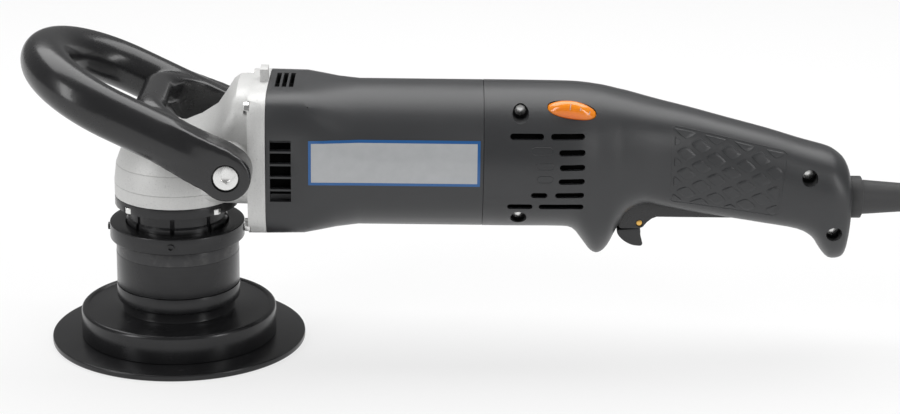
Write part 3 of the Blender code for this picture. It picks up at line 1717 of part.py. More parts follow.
def dial_yoke(shape):
    """Two cheeks that stand in from the wall and carry the dial's pins."""
    frame = dial_frame()
    inner = DIAL_HALF_W + DIAL_GAP / 2
    outer = DIAL_HALF_W + DIAL_GAP + YOKE_T
    for ends in ((-outer, -inner), (inner, outer)):
        low = (-YOKE_HALF, -YOKE_HALF, ends[0])
        add_box(shape, low, (YOKE_HALF, DIAL_R, ends[1]), frame)


def cut_shell_features(shell, name, side):
    end = SHELL_FRONT + SHELL_LENGTH

    def rooms(shape):
        for _, start, length, middle, height, half_width in clamp_frames():
            half = half_width + SEAT_GAP
            reach = height / 2 + SEAT_GAP
            low = (start - SEAT_GAP, -half, middle - reach)
            add_box(shape, low, (start + length + SEAT_GAP, half, middle + reach))
        half = PADDLE_HALF_W + PADDLE_SIDE_GAP
        front = PADDLE_PIVOT_X - PADDLE_REACH - PADDLE_ROOM_GAP
        low = (front, -half, AXIS_Z - BARREL_R * 2)
        add_box(shape, low, (PADDLE_PIVOT_X + PADDLE_ROOM_BACK, half, PADDLE_ROOM_TOP))

    def recesses(shape):
        for _, x, z, seat in screw_points():
            outer = -BARREL_R - OVERRUN
            add_rod(shape, (x, -seat, z), (x, outer, z), SHELL_RECESS_R, MEDIUM_STEPS)

    def holes(shape):
        hole = SHELL_SCREW_R + SCREW_HOLE_GAP
        for _, x, z, seat in screw_points():
            far = seat + OVERRUN if side < 0 else SHELL_SCREW_BITE + SEAT_GAP
            add_rod(shape, (x, -side * OVERRUN, z), (x, side * far, z), hole)
        pivot = Vector((PADDLE_PIVOT_X, 0.0, PADDLE_PIVOT_Z))
        reach = PADDLE_PIN_HALF + SEAT_GAP
        add_rod(shape, pivot, pivot + ACROSS * side * reach, PADDLE_PIN_R + SLIDE_GAP)
        start = (end - SHELL_WALL - OVERRUN, 0.0, COLLAR_Z)
        add_rod(shape, start, (end + OVERRUN, 0.0, COLLAR_Z), BOOT_NECK_R + SEAT_GAP, MEDIUM_STEPS)

    def vents(shape):
        ends = sorted((side * (BARREL_R - SHELL_WALL * 4), side * (BARREL_R + OVERRUN)))
        for z, start, stop in VENT_ROW_SHARES:
            outline = slot_outline(shell_x(start), shell_x(stop), AXIS_Z + BARREL_R * z)
            add_slab(shape, outline, *ends)

    if side < 0:
        cut_dial_hole(shell, name)
        boolean(shell, solid(name + "_recesses", recesses, CUTTERS))
    boolean(shell, solid(name + "_holes", holes, CUTTERS))
    boolean(shell, solid(name + "_vents", vents, CUTTERS))
    boolean(shell, solid(name + "_rooms", rooms, CUTTERS))


def cut_dial_hole(shell, name):
    room = turned(name + "_dial_room", dial_profile(DIAL_GAP), steps=MEDIUM_STEPS, into=CUTTERS)
    room.matrix_world = dial_frame()
    boolean(shell, room)

    def pin_holes(shape):
        frame = dial_frame()
        reach = DIAL_HALF_W + DIAL_GAP + YOKE_T + OVERRUN
        start = frame @ Vector((0.0, 0.0, -reach))
        end = frame @ Vector((0.0, 0.0, reach))
        add_rod(shape, start, end, DIAL_PIN_R + SLIDE_GAP)

    boolean(shell, solid(name + "_pin_holes", pin_holes, CUTTERS))


def shell_screws():
    for name, x, z, depth in screw_points():
        seat = Vector((x, -depth - SEAT_GAP, z))
        cap_screw(
            f"shell_screw_{name}",
            seat,
            -ACROSS,
            SHELL_SCREW_HEAD_R,
            SHELL_SCREW_HEAD_H,
            SHELL_SCREW_R,
            depth + SHELL_SCREW_BITE,
            "bright_steel",
        )


def boxed(name, start, length, middle, height, half_width, finish_name):
    def make(shape):
        low = (start, -half_width, middle - height / 2)
        add_box(shape, low, (start + length, half_width, middle + height / 2))

    return give(solid(name, make), finish_name)


def electrics():
    finishes = {"switch": ("switch_body", "black_plastic"), "module": ("speed_module", "circuit_resin")}
    for kind, *sizes in clamp_frames():
        name, finish_name = finishes[kind]
        boxed(name, *sizes, finish_name)


# Paddle, its safety catch and the pin that carries the catch
def paddle_frame():
    return Vector((PADDLE_PIVOT_X, 0.0, PADDLE_PIVOT_Z))


def catch_frame():
    return Vector((PADDLE_PIVOT_X - PADDLE_REACH * CATCH_PIN_SHARE, 0.0, CATCH_PIN_Z))


def scaled_outline(shares, width, height, at):
    return [(at.x + x * width, at.z + z * height) for x, z in shares]


def paddle():
    pivot = paddle_frame()
    outline = scaled_outline(PADDLE_OUTLINE_SHARES, PADDLE_REACH, PADDLE_DEPTH, pivot)
    lever = plate_shape("paddle", outline, PADDLE_HALF_W * 2, side_plane())

    def pins(shape):
        reach = ACROSS * PADDLE_PIN_HALF
        add_rod(shape, pivot - reach, pivot + reach, PADDLE_PIN_R)

    boolean(lever, solid("paddle_pins", pins, CUTTERS), "UNION")

    def catch_slot(shape):
        pin = catch_frame()
        half = CATCH_LUG_HALF + CATCH_GAP
        reach = CATCH_LUG_R + CATCH_GAP
        add_box(
            shape,
            (pin.x - reach, -half, pivot.z - PADDLE_DEPTH),
            (pin.x + reach * 1.6, half, pin.z + reach),
        )

    def pin_hole(shape):
        pin = catch_frame()
        reach = ACROSS * (PADDLE_HALF_W + OVERRUN)
        add_rod(shape, pin - reach, pin + reach, CATCH_PIN_R + SCREW_HOLE_GAP)

    boolean(lever, solid("catch_slot", catch_slot, CUTTERS))
    boolean(lever, solid("catch_pin_hole", pin_hole, CUTTERS))
    return give(lever, "black_plastic")


def catch_pin():
    pin = catch_frame()
    half = PADDLE_HALF_W - SEAT_GAP

    def make(shape):
        add_rod(shape, pin - ACROSS * half, pin + ACROSS * half, CATCH_PIN_R)

    return give(solid("catch_pin", make), "brass")


def safety_catch():
    pin = catch_frame()
    outline = scaled_outline(CATCH_OUTLINE_SHARES, CATCH_REACH, CATCH_DROP, pin)
    tongue = plate_shape("safety_catch", outline, CATCH_HALF_W * 2, side_plane())

    def lug(shape):
        half = ACROSS * CATCH_LUG_HALF
        add_rod(shape, pin - half, pin + half, CATCH_LUG_R, MEDIUM_STEPS)

    def web(shape):
        low = (pin.x - CATCH_LUG_R * 0.9, -CATCH_LUG_HALF * 0.98, pin.z - CATCH_DROP / 2)
        add_box(shape, low, (pin.x + CATCH_LUG_R * 0.4, CATCH_LUG_HALF * 0.98, pin.z))

    def hole(shape):
        half = ACROSS * (CATCH_LUG_HALF + OVERRUN)
        add_rod(shape, pin - half, pin + half, CATCH_PIN_R + SCREW_HOLE_GAP)

    boolean(tongue, solid("catch_web", web, CUTTERS), "UNION")
    boolean(tongue, solid("catch_lug", lug, CUTTERS), "UNION")
    boolean(tongue, solid("catch_hole", hole, CUTTERS))
    return give(tongue, "black_plastic")


# Cord, its boot, coil, tie and plug
def cord_boot():
    end = SHELL_FRONT + SHELL_LENGTH
    wall = end - SHELL_WALL
    collar = end + SEAT_GAP
    taper = collar + COLLAR_LENGTH
    profile = [
        (0.0, boot_end()),
        (BOOT_END_R, boot_end()),
        (BOOT_MIDDLE_R, taper + (boot_end() - taper) / 2),
        (BOOT_R, taper),
        (COLLAR_R, taper),
        (COLLAR_R, collar),
        (BOOT_NECK_R, collar),
        (BOOT_NECK_R, wall - SEAT_GAP),
        (BOOT_FLANGE_R, wall - SEAT_GAP),
        (BOOT_FLANGE_R, wall - SEAT_GAP - BOOT_FLANGE_T),
        (0.0, wall - SEAT_GAP - BOOT_FLANGE_T),
    ]
    boot = turned("cord_boot", profile, UP * COLLAR_Z, ALONG, MEDIUM_STEPS)
    return give(boot, "black_rubber")


def boot_end():
    return SHELL_FRONT + SHELL_LENGTH + SEAT_GAP + COLLAR_LENGTH + BOOT_LENGTH


def smooth_route(points, spacing):
    """Even points read from a smooth curve through the chosen ones."""
    points = [Vector(point) for point in points]
    padded = [points[0] * 2 - points[1], *points, points[-1] * 2 - points[-2]]
    fine = []
    for before, start, end, after in zip(padded, padded[1:], padded[2:], padded[3:]):
        for i in range(COIL_POINTS):
            t = i / COIL_POINTS
            fine.append(
                (
                    start * 2
                    + (end - before) * t
                    + (before * 2 - start * 5 + end * 4 - after) * t**2
                    + (start * 3 - before - end * 3 + after) * t**3
                )
                / 2
            )
    fine.append(points[-1])
    lengths = [0.0]
    for a, b in zip(fine, fine[1:]):
        lengths.append(lengths[-1] + (b - a).length)
    count = max(2, round(lengths[-1] / spacing))
    route = []
    index = 0
    for i in range(count + 1):
        want = lengths[-1] * i / count
        while index < len(fine) - 2 and lengths[index + 1] < want:
            index += 1
        span = lengths[index + 1] - lengths[index]
        route.append(fine[index].lerp(fine[index + 1], (want - lengths[index]) / span))
    return route


def coil_place(turns):
    """The middle of the cord after so many turns: radius, angle and height follow one rule."""
    layer_turns = COIL_TURNS / COIL_LAYERS
    sweep = COIL_STEP * layer_turns
    layer = min(int(turns / layer_turns), COIL_LAYERS - 1)
    along = turns / layer_turns - layer
    inward = along if layer % 2 == 0 else 1 - along
    radius = COIL_MIDDLE_R + sweep / 2 - sweep * inward
    height = COIL_Z
    for reversal in range(1, COIL_LAYERS):
        climb = (turns - reversal * layer_turns) * 2 + 0.5
        climb = min(max(climb, 0.0), 1.0)
        height += COIL_STEP * climb * climb * (3 - climb * 2)
    angle = math.tau * turns - math.pi / 2
    centre = coil_centre()
    return Vector((centre.x + radius * math.cos(angle), centre.y + radius * math.sin(angle), height))


def coil_outer():
    return COIL_MIDDLE_R + COIL_STEP * COIL_TURNS / COIL_LAYERS / 2


def coil_centre():
    return Vector((COIL_X, coil_outer(), 0.0))


def coil_points():
    count = round(COIL_TURNS * COIL_POINTS)
    points = [coil_place(COIL_TURNS * i / count) for i in range(count + 1)]
    return [points[0] - ALONG * CORD_D, *points, points[-1] - ALONG * CORD_D]


def least_gap(points):
    """The least space between one stretch of the coil and any stretch a half turn or more away."""
    least = math.inf
    apart = COIL_POINTS // 2
    for i, point in enumerate(points):
        for j in range(i + apart, len(points) - 1):
            start, end = points[j], points[j + 1]
            span = end - start
            share = min(max((point - start).dot(span) / span.length_squared, 0.0), 1.0)
            least = min(least, (point - start - span * share).length)
    return least - CORD_D


def cord():
    spacing = CORD_D * CORD_SPACING
    lead = tube("cord_lead", smooth_route(CORD_ROUTE, spacing), CORD_D / 2, 2)
    points = coil_points()
    gap = least_gap(points)
    print("least gap of the coil to itself, in mm:", round(gap * 1000, 2))
    print("gap is wide enough:", gap > LEAST_COIL_GAP)
    coil = tube("cord_coil", points, CORD_D / 2, 1)
    tail = tube("cord_tail", smooth_route(TAIL_ROUTE, spacing / 2), CORD_D / 2, 2)
    for piece in (lead, coil, tail):
        give(piece, "black_rubber")


def rounded_rectangle(low, high, radius):
    points = []
    corners = (
        (high[0] - radius, high[1] - radius, 0.0),
        (low[0] + radius, high[1] - radius, 90.0),
        (low[0] + radius, low[1] + radius, 180.0),
        (high[0] - radius, low[1] + radius, 270.0),
    )
    for x, y, start in corners:
        for i in range(4):
            angle = math.radians(start + 30.0 * i)
            points.append((x + radius * math.cos(angle), y + radius * math.sin(angle)))
    return points


def cord_tie():
    """A band round the coil where its turns run level, on the side away from the machine."""
    centre = coil_centre()
    inner = COIL_MIDDLE_R * 2 - coil_outer() - CORD_D / 2 - TIE_GAP
    outer = coil_outer() + CORD_D / 2 + TIE_GAP
    low = (centre.x + inner, COIL_Z - CORD_D / 2 - TIE_GAP)
    high = (centre.x + outer, COIL_Z + COIL_STEP * (COIL_LAYERS - 1) + CORD_D / 2 + TIE_GAP)
    wide_low = (low[0] - TIE_T, low[1] - TIE_T)
    wide_high = (high[0] + TIE_T, high[1] + TIE_T)
    plane = side_plane(centre.y)
    around = rounded_rectangle(wide_low, wide_high, TIE_CORNER_R + TIE_T)
    within = rounded_rectangle(low, high, TIE_CORNER_R)
    band = plate_shape("cord_tie", around, TIE_HALF_W * 2, plane)
    boolean(band, plate_shape("tie_opening", within, TIE_HALF_W * 3, plane, CUTTERS))
    return give(band, "black_rubber")


def plug():
    start = Vector(TAIL_ROUTE[-1]) - ALONG * SEAT_GAP
    end = PLUG_NECK + PLUG_LENGTH
    profile = [
        (0.0, end),
        (PLUG_R - PLUG_EDGE, end),
        (PLUG_R, end - PLUG_EDGE),
        (PLUG_R, PLUG_NECK + PLUG_EDGE * 3),
        (PLUG_R * 0.8, PLUG_NECK + PLUG_EDGE),
        (PLUG_NECK_R * 1.35, PLUG_NECK),
        (PLUG_NECK_R, 0.0),
        (0.0, 0.0),
    ]
    body = turned("plug", profile, start, -ALONG, MEDIUM_STEPS)

    def pins(shape):
        for side in (-1.0, 1.0):
            root = start - ALONG * (end - PLUG_EDGE) + ACROSS * side * PLUG_PIN_HALF_GAP
            tip = root - ALONG * (PLUG_PIN_LENGTH + PLUG_EDGE)
            add_rod(shape, root, tip, PLUG_PIN_R)

    boolean(body, solid("plug_pins", pins, CUTTERS), "UNION")
    return give(body, "black_rubber")


# The assembly
guide_plate()
guide_bell()
depth_sleeve()
clamp_ring()
set_screws()
bearing_flange()
flange_screws()
gear_housing()
housing_screws()
loop_handle()
handle_bolts()
crown_gear()
pinion()
spindle()
spindle_bearings()
cutter_head()
cutter_inserts()
pilot_bearing()
pilot_screw()
armature_shaft()
armature_core()
commutator()
fan()
stator()
motor_bearings()
brushes()
motor_housing()
half_shell("rear_shell_near", -1.0)
half_shell("rear_shell_far", 1.0)
shell_screws()
speed_dial()
electrics()
paddle()
catch_pin()
safety_catch()
cord_boot()
cord()
cord_tie()
plug()

# Empties on the joints' axes carry the pieces that move
GUIDE_PIECES = ["clamp_ring", "set_screw_1", "set_screw_2", "set_screw_3", "set_screw_4"]
GUIDE_PIECES += ["depth_sleeve", "guide_bell", "guide_plate"]
SPINDLE_PIECES = ["spindle", "crown_gear", "cutter_head", "pilot_screw"]
SPINDLE_PIECES += ["cutter_insert_1", "cutter_insert_2", "cutter_insert_3"]
ARMATURE_PIECES = ["armature_shaft", "armature_core", "commutator", "fan", "pinion"]
carry(joint_axis("guide_axis", UP * 0.0), GUIDE_PIECES)
carry(joint_axis("handle_axis", (PIVOT_X, 0.0, PIVOT_Z)), ["loop_handle"])
carry(joint_axis("armature_axis", AXIS), ARMATURE_PIECES)
carry(joint_axis("pilot_axis", UP * 0.0), ["pilot_bearing"])
carry(joint_axis("spindle_axis", UP * 0.0), [*SPINDLE_PIECES, "pilot_axis"])
carry(joint_axis("catch_axis", catch_frame()), ["safety_catch"])
carry(joint_axis("paddle_axis", paddle_frame()), ["paddle", "catch_pin", "catch_axis"])
carry(joint_axis("dial_axis", dial_frame().translation), ["speed_dial"])
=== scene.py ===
# %% [markdown]
# # Edge beveling machine
# This lesson dresses a hand-held machine that cuts a chamfer along a metal edge.
# The solids come ready made from the frame, at their real size and place.
# Here they get smooth skins, fine details, finishes, a cord, lights and a camera.
# All lengths are in metres, X runs along the motor and Z points up.

# %% Load the frame
import json
from math import copysign, cos, pi, radians, sin, tau

import bmesh
import bpy
from mathutils import Matrix, Vector


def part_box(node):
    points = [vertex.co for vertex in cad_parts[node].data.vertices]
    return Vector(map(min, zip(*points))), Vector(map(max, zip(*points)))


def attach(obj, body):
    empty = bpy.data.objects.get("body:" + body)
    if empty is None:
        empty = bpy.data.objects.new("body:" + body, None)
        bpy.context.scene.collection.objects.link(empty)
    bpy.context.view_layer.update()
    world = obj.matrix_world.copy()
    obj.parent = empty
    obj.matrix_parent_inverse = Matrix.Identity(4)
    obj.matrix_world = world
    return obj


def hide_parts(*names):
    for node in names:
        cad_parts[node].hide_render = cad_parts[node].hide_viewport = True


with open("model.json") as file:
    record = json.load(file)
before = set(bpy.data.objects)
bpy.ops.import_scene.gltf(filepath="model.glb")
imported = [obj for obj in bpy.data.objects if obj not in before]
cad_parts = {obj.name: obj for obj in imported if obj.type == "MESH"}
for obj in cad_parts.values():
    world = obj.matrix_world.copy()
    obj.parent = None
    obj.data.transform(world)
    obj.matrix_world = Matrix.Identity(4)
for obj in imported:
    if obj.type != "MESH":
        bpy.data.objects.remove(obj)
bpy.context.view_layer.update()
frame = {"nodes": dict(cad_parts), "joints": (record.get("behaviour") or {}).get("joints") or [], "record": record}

NODES = frame["nodes"]
SLOT_OF = {part["node"]: part["material_slot"] for part in frame["record"]["subparts"]}
BODY_OF = {
    node: body
    for body, nodes in frame["record"]["behaviour"]["bodies"].items()
    for node in nodes
}
print("the frame holds", len(NODES), "pieces")

# %% [markdown]
# ## Camera
# The camera stands where the photographer stood: in front, a little above the machine.
# Its place came from matching round and straight edges of the machine in the picture.
# A camera object looks along its own minus Z, so its matrix is built from three
# directions: to the right, up, and backwards. A small roll tilts the whole picture.

# %% Place the camera
EYE = Vector((0.1522, -1.4232, 0.5518))
PITCH = radians(18.14)
YAW = radians(0.6)
ROLL = radians(0.82)
LENS_MM = 97.74
SENSOR_MM = 36.0

ahead = Vector((sin(YAW) * cos(PITCH), cos(YAW) * cos(PITCH), -sin(PITCH)))
level = Vector((cos(YAW), -sin(YAW), 0.0))
upright = level.cross(ahead)
right = level * cos(ROLL) + upright * sin(ROLL)
up = upright * cos(ROLL) - level * sin(ROLL)

lens = bpy.data.cameras.new("camera")
lens.lens = LENS_MM
lens.sensor_width = SENSOR_MM
lens.sensor_fit = "HORIZONTAL"
camera = bpy.data.objects.new("camera", lens)
camera.matrix_world = Matrix.Translation(EYE) @ Matrix((right, up, -ahead)).transposed().to_4x4()
bpy.context.scene.collection.objects.link(camera)
bpy.context.scene.camera = camera
print("camera at", [round(value, 3) for value in EYE])

# %% [markdown]
# ## Shader maths
# A material is a small network of nodes. Wiring each node by hand takes many lines,
# so one class stands for an output of a node and adds a Math node whenever it meets
# a plus or a times. A second class holds one material and makes any other node.

# %% One output of a node
class Wire:
    """One output of a node, which takes part in sums as a number does."""

    def __init__(self, finish, socket):
        self.finish = finish
        self.socket = socket

    def maths(self, operation, first, second):
        return self.finish.node("Math", {"operation": operation}, {0: first, 1: second})

    def __add__(self, other):
        return self.maths("ADD", self, other)

    def __sub__(self, other):
        return self.maths("SUBTRACT", self, other)

    def __rsub__(self, other):
        return self.maths("SUBTRACT", other, self)

    def __mul__(self, other):
        return self.maths("MULTIPLY", self, other)

    def __pow__(self, other):
        return self.maths("POWER", self, other)

    def above(self, limit):
        return self.maths("GREATER_THAN", self, limit)

    __radd__ = __add__
    __rmul__ = __mul__

# %% One material
FINISHES = {}


class Finish:
    """A material with a Principled shader, and one method that makes any node."""

    def __init__(self, name, roughness, metallic=0.0, coat=0.0):
        self.material = bpy.data.materials.new(name)
        self.material.use_nodes = True
        self.tree = self.material.node_tree
        self.shader = self.tree.nodes["Principled BSDF"]
        self.set("Roughness", roughness)
        self.set("Metallic", metallic)
        self.set("Coat Weight", coat)
        self.place = self.node("TexCoord", output="Object")
        FINISHES[name] = self.material

    def node(self, kind, settings=None, inputs=None, output=0):
        made = self.tree.nodes.new("ShaderNode" + kind)
        for name, value in (settings or {}).items():
            if name == "stops":
                for stop, (position, shade) in zip(made.color_ramp.elements, value):
                    stop.position = position
                    stop.color = (shade, shade, shade, 1.0)
            else:
                setattr(made, name, value)
        for name, value in (inputs or {}).items():
            self.join(value, made.inputs[name])
        return Wire(self, made.outputs[output])

    def join(self, value, socket):
        if isinstance(value, Wire):
            self.tree.links.new(value.socket, socket)
        elif isinstance(value, tuple) and socket.type == "RGBA":
            socket.default_value = (*value, 1.0)
        else:
            socket.default_value = value

    def set(self, name, value):
        self.join(value, self.shader.inputs[name])

    def noise(self, size, detail=2.0, where=None):
        """Soft spots of about the given size, from 0 to 1."""
        settings = {"Vector": where or self.place, "Scale": 1 / size, "Detail": detail}
        return self.node("TexNoise", None, settings)

    def spots(self, size, low, high, detail=2.0, where=None):
        """The same spots, cut down to those between two levels."""
        stops = ((low, 0.0), (high, 1.0))
        return self.node("ValToRGB", {"stops": stops}, {0: self.noise(size, detail, where)})

    def blend(self, first, second, share):
        return self.node("Mix", {"data_type": "RGBA"}, {0: share, 6: first, 7: second}, 2)

    def parts(self):
        """The three coordinates of a point, each as its own wire."""
        split = self.node("SeparateXYZ", None, {0: self.place}).socket.node
        return [Wire(self, output) for output in split.outputs]

    def join_parts(self, x, y, z):
        return self.node("CombineXYZ", None, {0: x, 1: y, 2: z})

    def bump(self, height, depth):
        """Tilts the light on the surface as grooves of the given depth would."""
        settings = {"Strength": 1.0, "Distance": depth, "Height": height}
        self.set("Normal", self.node("Bump", None, settings))

# %% [markdown]
# ## Finishes
# Every real surface varies. Moulded plastic has the fine grain of its mould, a sand
# casting sparkles, turned steel shows rings from the lathe, and rubber collects dust.
# Each finish mixes two close colours with soft noise and adds grain as a bump.
# Sizes are real: a grain of 0.4 mm stays 0.4 mm on every piece.

# %% Plastics
def moulded(name, colour, pale, roughness, grain, depth, coat=0.0):
    finish = Finish(name, roughness, 0.0, coat)
    cloudy = finish.noise(0.03, 3.0)
    fine = finish.noise(grain, 3.0)
    finish.set("Base Color", finish.blend(colour, pale, cloudy * 0.6 + fine * 0.4))
    finish.set("Roughness", cloudy * 0.08 + fine * 0.06 + roughness - 0.07)
    finish.bump(fine, depth)


moulded("grey_plastic", (0.030, 0.031, 0.033), (0.040, 0.041, 0.043), 0.38, 0.0005, 0.00005)
moulded("black_plastic", (0.011, 0.011, 0.012), (0.017, 0.017, 0.018), 0.26, 0.004, 0.00003, 0.15)
moulded("black_rubber", (0.034, 0.034, 0.035), (0.052, 0.052, 0.053), 0.62, 0.0007, 0.00007)
moulded("circuit_resin", (0.02, 0.08, 0.05), (0.03, 0.13, 0.08), 0.38, 0.002, 0.00005)
moulded("carbon", (0.022, 0.022, 0.022), (0.04, 0.04, 0.04), 0.6, 0.0006, 0.00004)
print("moulded finishes:", len(FINISHES))

# %% Nameplate, painted shade sheets and orange dial
LABEL_LOW = (0.0825, 0.1126)
LABEL_HIGH = (0.1842, 0.1398)
LABEL_EDGE = 0.0017

finish = Finish("nameplate", 0.34, 0.0, 0.3)
x, y, z = finish.parts()
across = x.above(LABEL_LOW[0] + LABEL_EDGE) * (1 - x.above(LABEL_HIGH[0] - LABEL_EDGE))
field = across * z.above(LABEL_LOW[1] + LABEL_EDGE) * (1 - z.above(LABEL_HIGH[1] - LABEL_EDGE))
paint = finish.noise(0.006, 3.0)
pale = finish.blend((0.40, 0.41, 0.42), (0.47, 0.48, 0.49), paint)
finish.set("Base Color", finish.blend((0.012, 0.10, 0.30), pale, field))
finish.set("Roughness", 0.30 + paint * 0.10)

# Painted shade: a near-black finish with little sheen, for sheets that stand for the dark inside of the vents.
moulded("painted_shade_sheet", (0.001, 0.001, 0.001), (0.003, 0.003, 0.003), 0.9, 0.0006, 0.0001)
FINISHES["painted_shade_sheet"].node_tree.nodes["Principled BSDF"].inputs["Specular IOR Level"].default_value = 0.05

dial_joint = next(joint for joint in frame["joints"] if joint["name"] == "dial_turn")
DIAL_AT = Vector(dial_joint["pos_m"])
DIAL_AXLE = Vector(dial_joint["axis"]).normalized()
DIAL_ANGLE = radians(53)
DIAL_OUT = Vector((0.0, -cos(DIAL_ANGLE), sin(DIAL_ANGLE)))
DIAL_R = 0.020
DIAL_HALF = 0.0082

finish = Finish("orange_plastic", 0.2, 0.0, 0.5)
x, y, z = finish.parts()
along = (x - DIAL_AT.x) * DIAL_AXLE.x + (y - DIAL_AT.y) * DIAL_AXLE.y + (z - DIAL_AT.z) * DIAL_AXLE.z
# Painted shade: the sides of the crown, which turn away, are painted a deeper red than its middle.
shaded_sides = (along * along) * (1 / DIAL_HALF**2)
warm = finish.blend((1.0, 0.24, 0.004), (1.0, 0.33, 0.008), finish.noise(0.004, 3.0))
finish.set("Base Color", finish.blend(warm, (0.72, 0.055, 0.003), shaded_sides))
finish.set("Roughness", 0.16 + finish.noise(0.002, 2.0) * 0.1)

moulded("number_paint", (0.60, 0.42, 0.34), (0.72, 0.52, 0.42), 0.4, 0.001, 0.00001)

# %% [markdown]
# ### Metals
# The gear head is sand-cast aluminium, blasted to an even pale grey with tiny bright
# and dark grains. The guide is turned steel, blackened in a hot bath: its fine rings
# follow the radius and the height, so the noise reads those two and not X and Y.

# %% Cast aluminium
MOULD_LINES = (0.102, 0.114)
MOULD_LINE_H = 0.0005
MOULD_END = 0.044

finish = Finish("cast_aluminium", 0.5, 0.35)
cloudy = finish.noise(0.02, 2.0)
grain = finish.noise(0.0009, 4.0)
sparks = finish.spots(0.0006, 0.60, 0.74)
pits = finish.spots(0.0011, 0.27, 0.40, 3.0)
body = finish.blend((0.60, 0.60, 0.59), (0.70, 0.70, 0.69), cloudy * 0.5 + grain * 0.5)
pitted = finish.blend((0.54, 0.54, 0.535), body, pits)
x, y, z = finish.parts()
front = 1 - x.above(MOULD_END)
low, high = MOULD_LINES
lines = z.above(low - MOULD_LINE_H) * (1 - z.above(low))
lines = lines + z.above(high - MOULD_LINE_H) * (1 - z.above(high))
lined = finish.blend(pitted, (0.40, 0.40, 0.395), lines * front * 0.55)
finish.set("Base Color", finish.blend(lined, (0.82, 0.82, 0.81), sparks * 0.4))
finish.set("Roughness", 0.50 - sparks * 0.16 + cloudy * 0.06)
finish.bump(grain * 0.3 + lines * front, 0.0004)
print("nodes in the cast finish:", len(finish.tree.nodes))

# %% Blackened steel
BAND_LOW = 0.0575
BAND_HIGH = 0.0662

finish = Finish("black_steel", 0.34, 0.25)
x, y, z = finish.parts()
radius = (x * x + y * y) ** 0.5
rings = finish.noise(0.00035, 2.0, finish.join_parts(radius, 0.0, z))
cloudy = finish.noise(0.018, 3.0)
pale_patches = finish.spots(0.006, 0.50, 0.72, 4.0)
# A band near the top of the sleeve is lighter, with paler patches in it.
band = z.above(BAND_LOW) * (1 - z.above(BAND_HIGH))
shade = cloudy * 0.45 + rings * 0.25 + band * 0.5
colour = finish.blend((0.010, 0.010, 0.011), (0.040, 0.040, 0.042), shade)
finish.set("Base Color", finish.blend(colour, (0.075, 0.073, 0.072), pale_patches * band * 0.6))
finish.set("Roughness", 0.17 + cloudy * 0.10 + rings * 0.05)
finish.bump(rings, 0.00002)
print("nodes in the black finish:", len(finish.tree.nodes))

# %% Bright metals
def bright(name, colour, pale, roughness, metallic=1.0):
    finish = Finish(name, roughness, metallic)
    cloudy = finish.noise(0.004, 3.0)
    fine = finish.noise(0.0004, 3.0)
    finish.set("Base Color", finish.blend(colour, pale, cloudy))
    finish.set("Roughness", roughness + cloudy * 0.1 - fine * 0.05)
    finish.bump(fine, 0.00002)


bright("bright_steel", (0.70, 0.70, 0.69), (0.86, 0.86, 0.85), 0.24)
bright("bearing_steel", (0.46, 0.46, 0.47), (0.58, 0.58, 0.59), 0.22)
bright("carbide", (0.33, 0.32, 0.30), (0.42, 0.41, 0.39), 0.30)
bright("brass", (0.72, 0.42, 0.10), (0.90, 0.56, 0.18), 0.28)

# %% Layers of the motor's core and bars of its commutator
SHEET = 0.0007
BARS = 24
MOTOR_HEIGHT = (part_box("commutator")[0].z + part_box("commutator")[1].z) / 2

finish = Finish("laminations", 0.42, 0.8)
x, y, z = finish.parts()
sheets = x.maths("PINGPONG", x, SHEET) * (1 / SHEET)
finish.set("Base Color", finish.blend((0.12, 0.12, 0.13), (0.26, 0.26, 0.27), sheets))
finish.bump(sheets, 0.00008)

finish = Finish("copper", 0.33, 1.0)
x, y, z = finish.parts()
turn = y.maths("ARCTAN2", y, z - MOTOR_HEIGHT)
bars = turn.maths("PINGPONG", turn, pi / BARS)
slits = (bars * (BARS / pi)) ** 0.15
finish.set("Base Color", finish.blend((0.05, 0.04, 0.03), (0.66, 0.28, 0.13), slits))
print("finishes:", ", ".join(sorted(FINISHES)))

# %% [markdown]
# ## Skins
# A solid from the frame is a set of loose triangles. A copy of it is welded, its flat
# parts are joined, a Bevel modifier rounds the edges as a mould or a file would, and
# shading by angle makes round faces look round. The copy then stands for the solid.

# %% Helpers for pieces
WELD = 0.00001
FLAT = radians(0.6)
SOFT = radians(32)
SHARP = radians(40)
STEEP = radians(60)


def alone(piece):
    """Selects one object and nothing else."""
    for other in bpy.context.selected_objects:
        other.select_set(False)
    piece.select_set(True)
    bpy.context.view_layer.objects.active = piece


def placed(name, data):
    """A new object in the scene, made of a mesh or a curve."""
    piece = bpy.data.objects.new(name, data)
    bpy.context.scene.collection.objects.link(piece)
    return piece


def built(name, form):
    """A new object made of a finished bmesh."""
    mesh = bpy.data.meshes.new(name)
    form.to_mesh(mesh)
    form.free()
    return placed(name, mesh)


def settled(piece):
    """Applies an object's own place, turn and scale, so that its origin is the frame's."""
    alone(piece)
    bpy.ops.object.transform_apply(location=True, rotation=True, scale=True)
    return piece


def put(piece, matrix):
    piece.matrix_world = matrix
    return settled(piece)


def dress(piece, node, finish=None, stands_for=True):
    """Gives a piece the finish of its slot, or the one named, puts it in its body, and hides the solid that it
    stands for.
    """
    worn = finish or SLOT_OF[node]
    piece.data.materials.clear()
    piece.data.materials.append(FINISHES[worn])
    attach(piece, BODY_OF[node])
    if stands_for:
        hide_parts(node)
    return piece


def rounded(piece, width=0.0, steps=2, limit=SHARP):
    """Rounds the sharp edges and shades the rest smooth."""
    alone(piece)
    if width:
        edge = piece.modifiers.new("edge", "BEVEL")
        edge.width = width
        edge.segments = steps
        edge.limit_method = "ANGLE"
        edge.angle_limit = limit
        bpy.ops.object.modifier_apply(modifier="edge")
    bpy.ops.object.shade_smooth_by_angle(angle=SOFT)
    return piece


def open_mesh(piece):
    """Starts an edit with the whole mesh selected."""
    alone(piece)
    bpy.ops.object.mode_set(mode="EDIT")
    bpy.ops.mesh.select_all(action="SELECT")


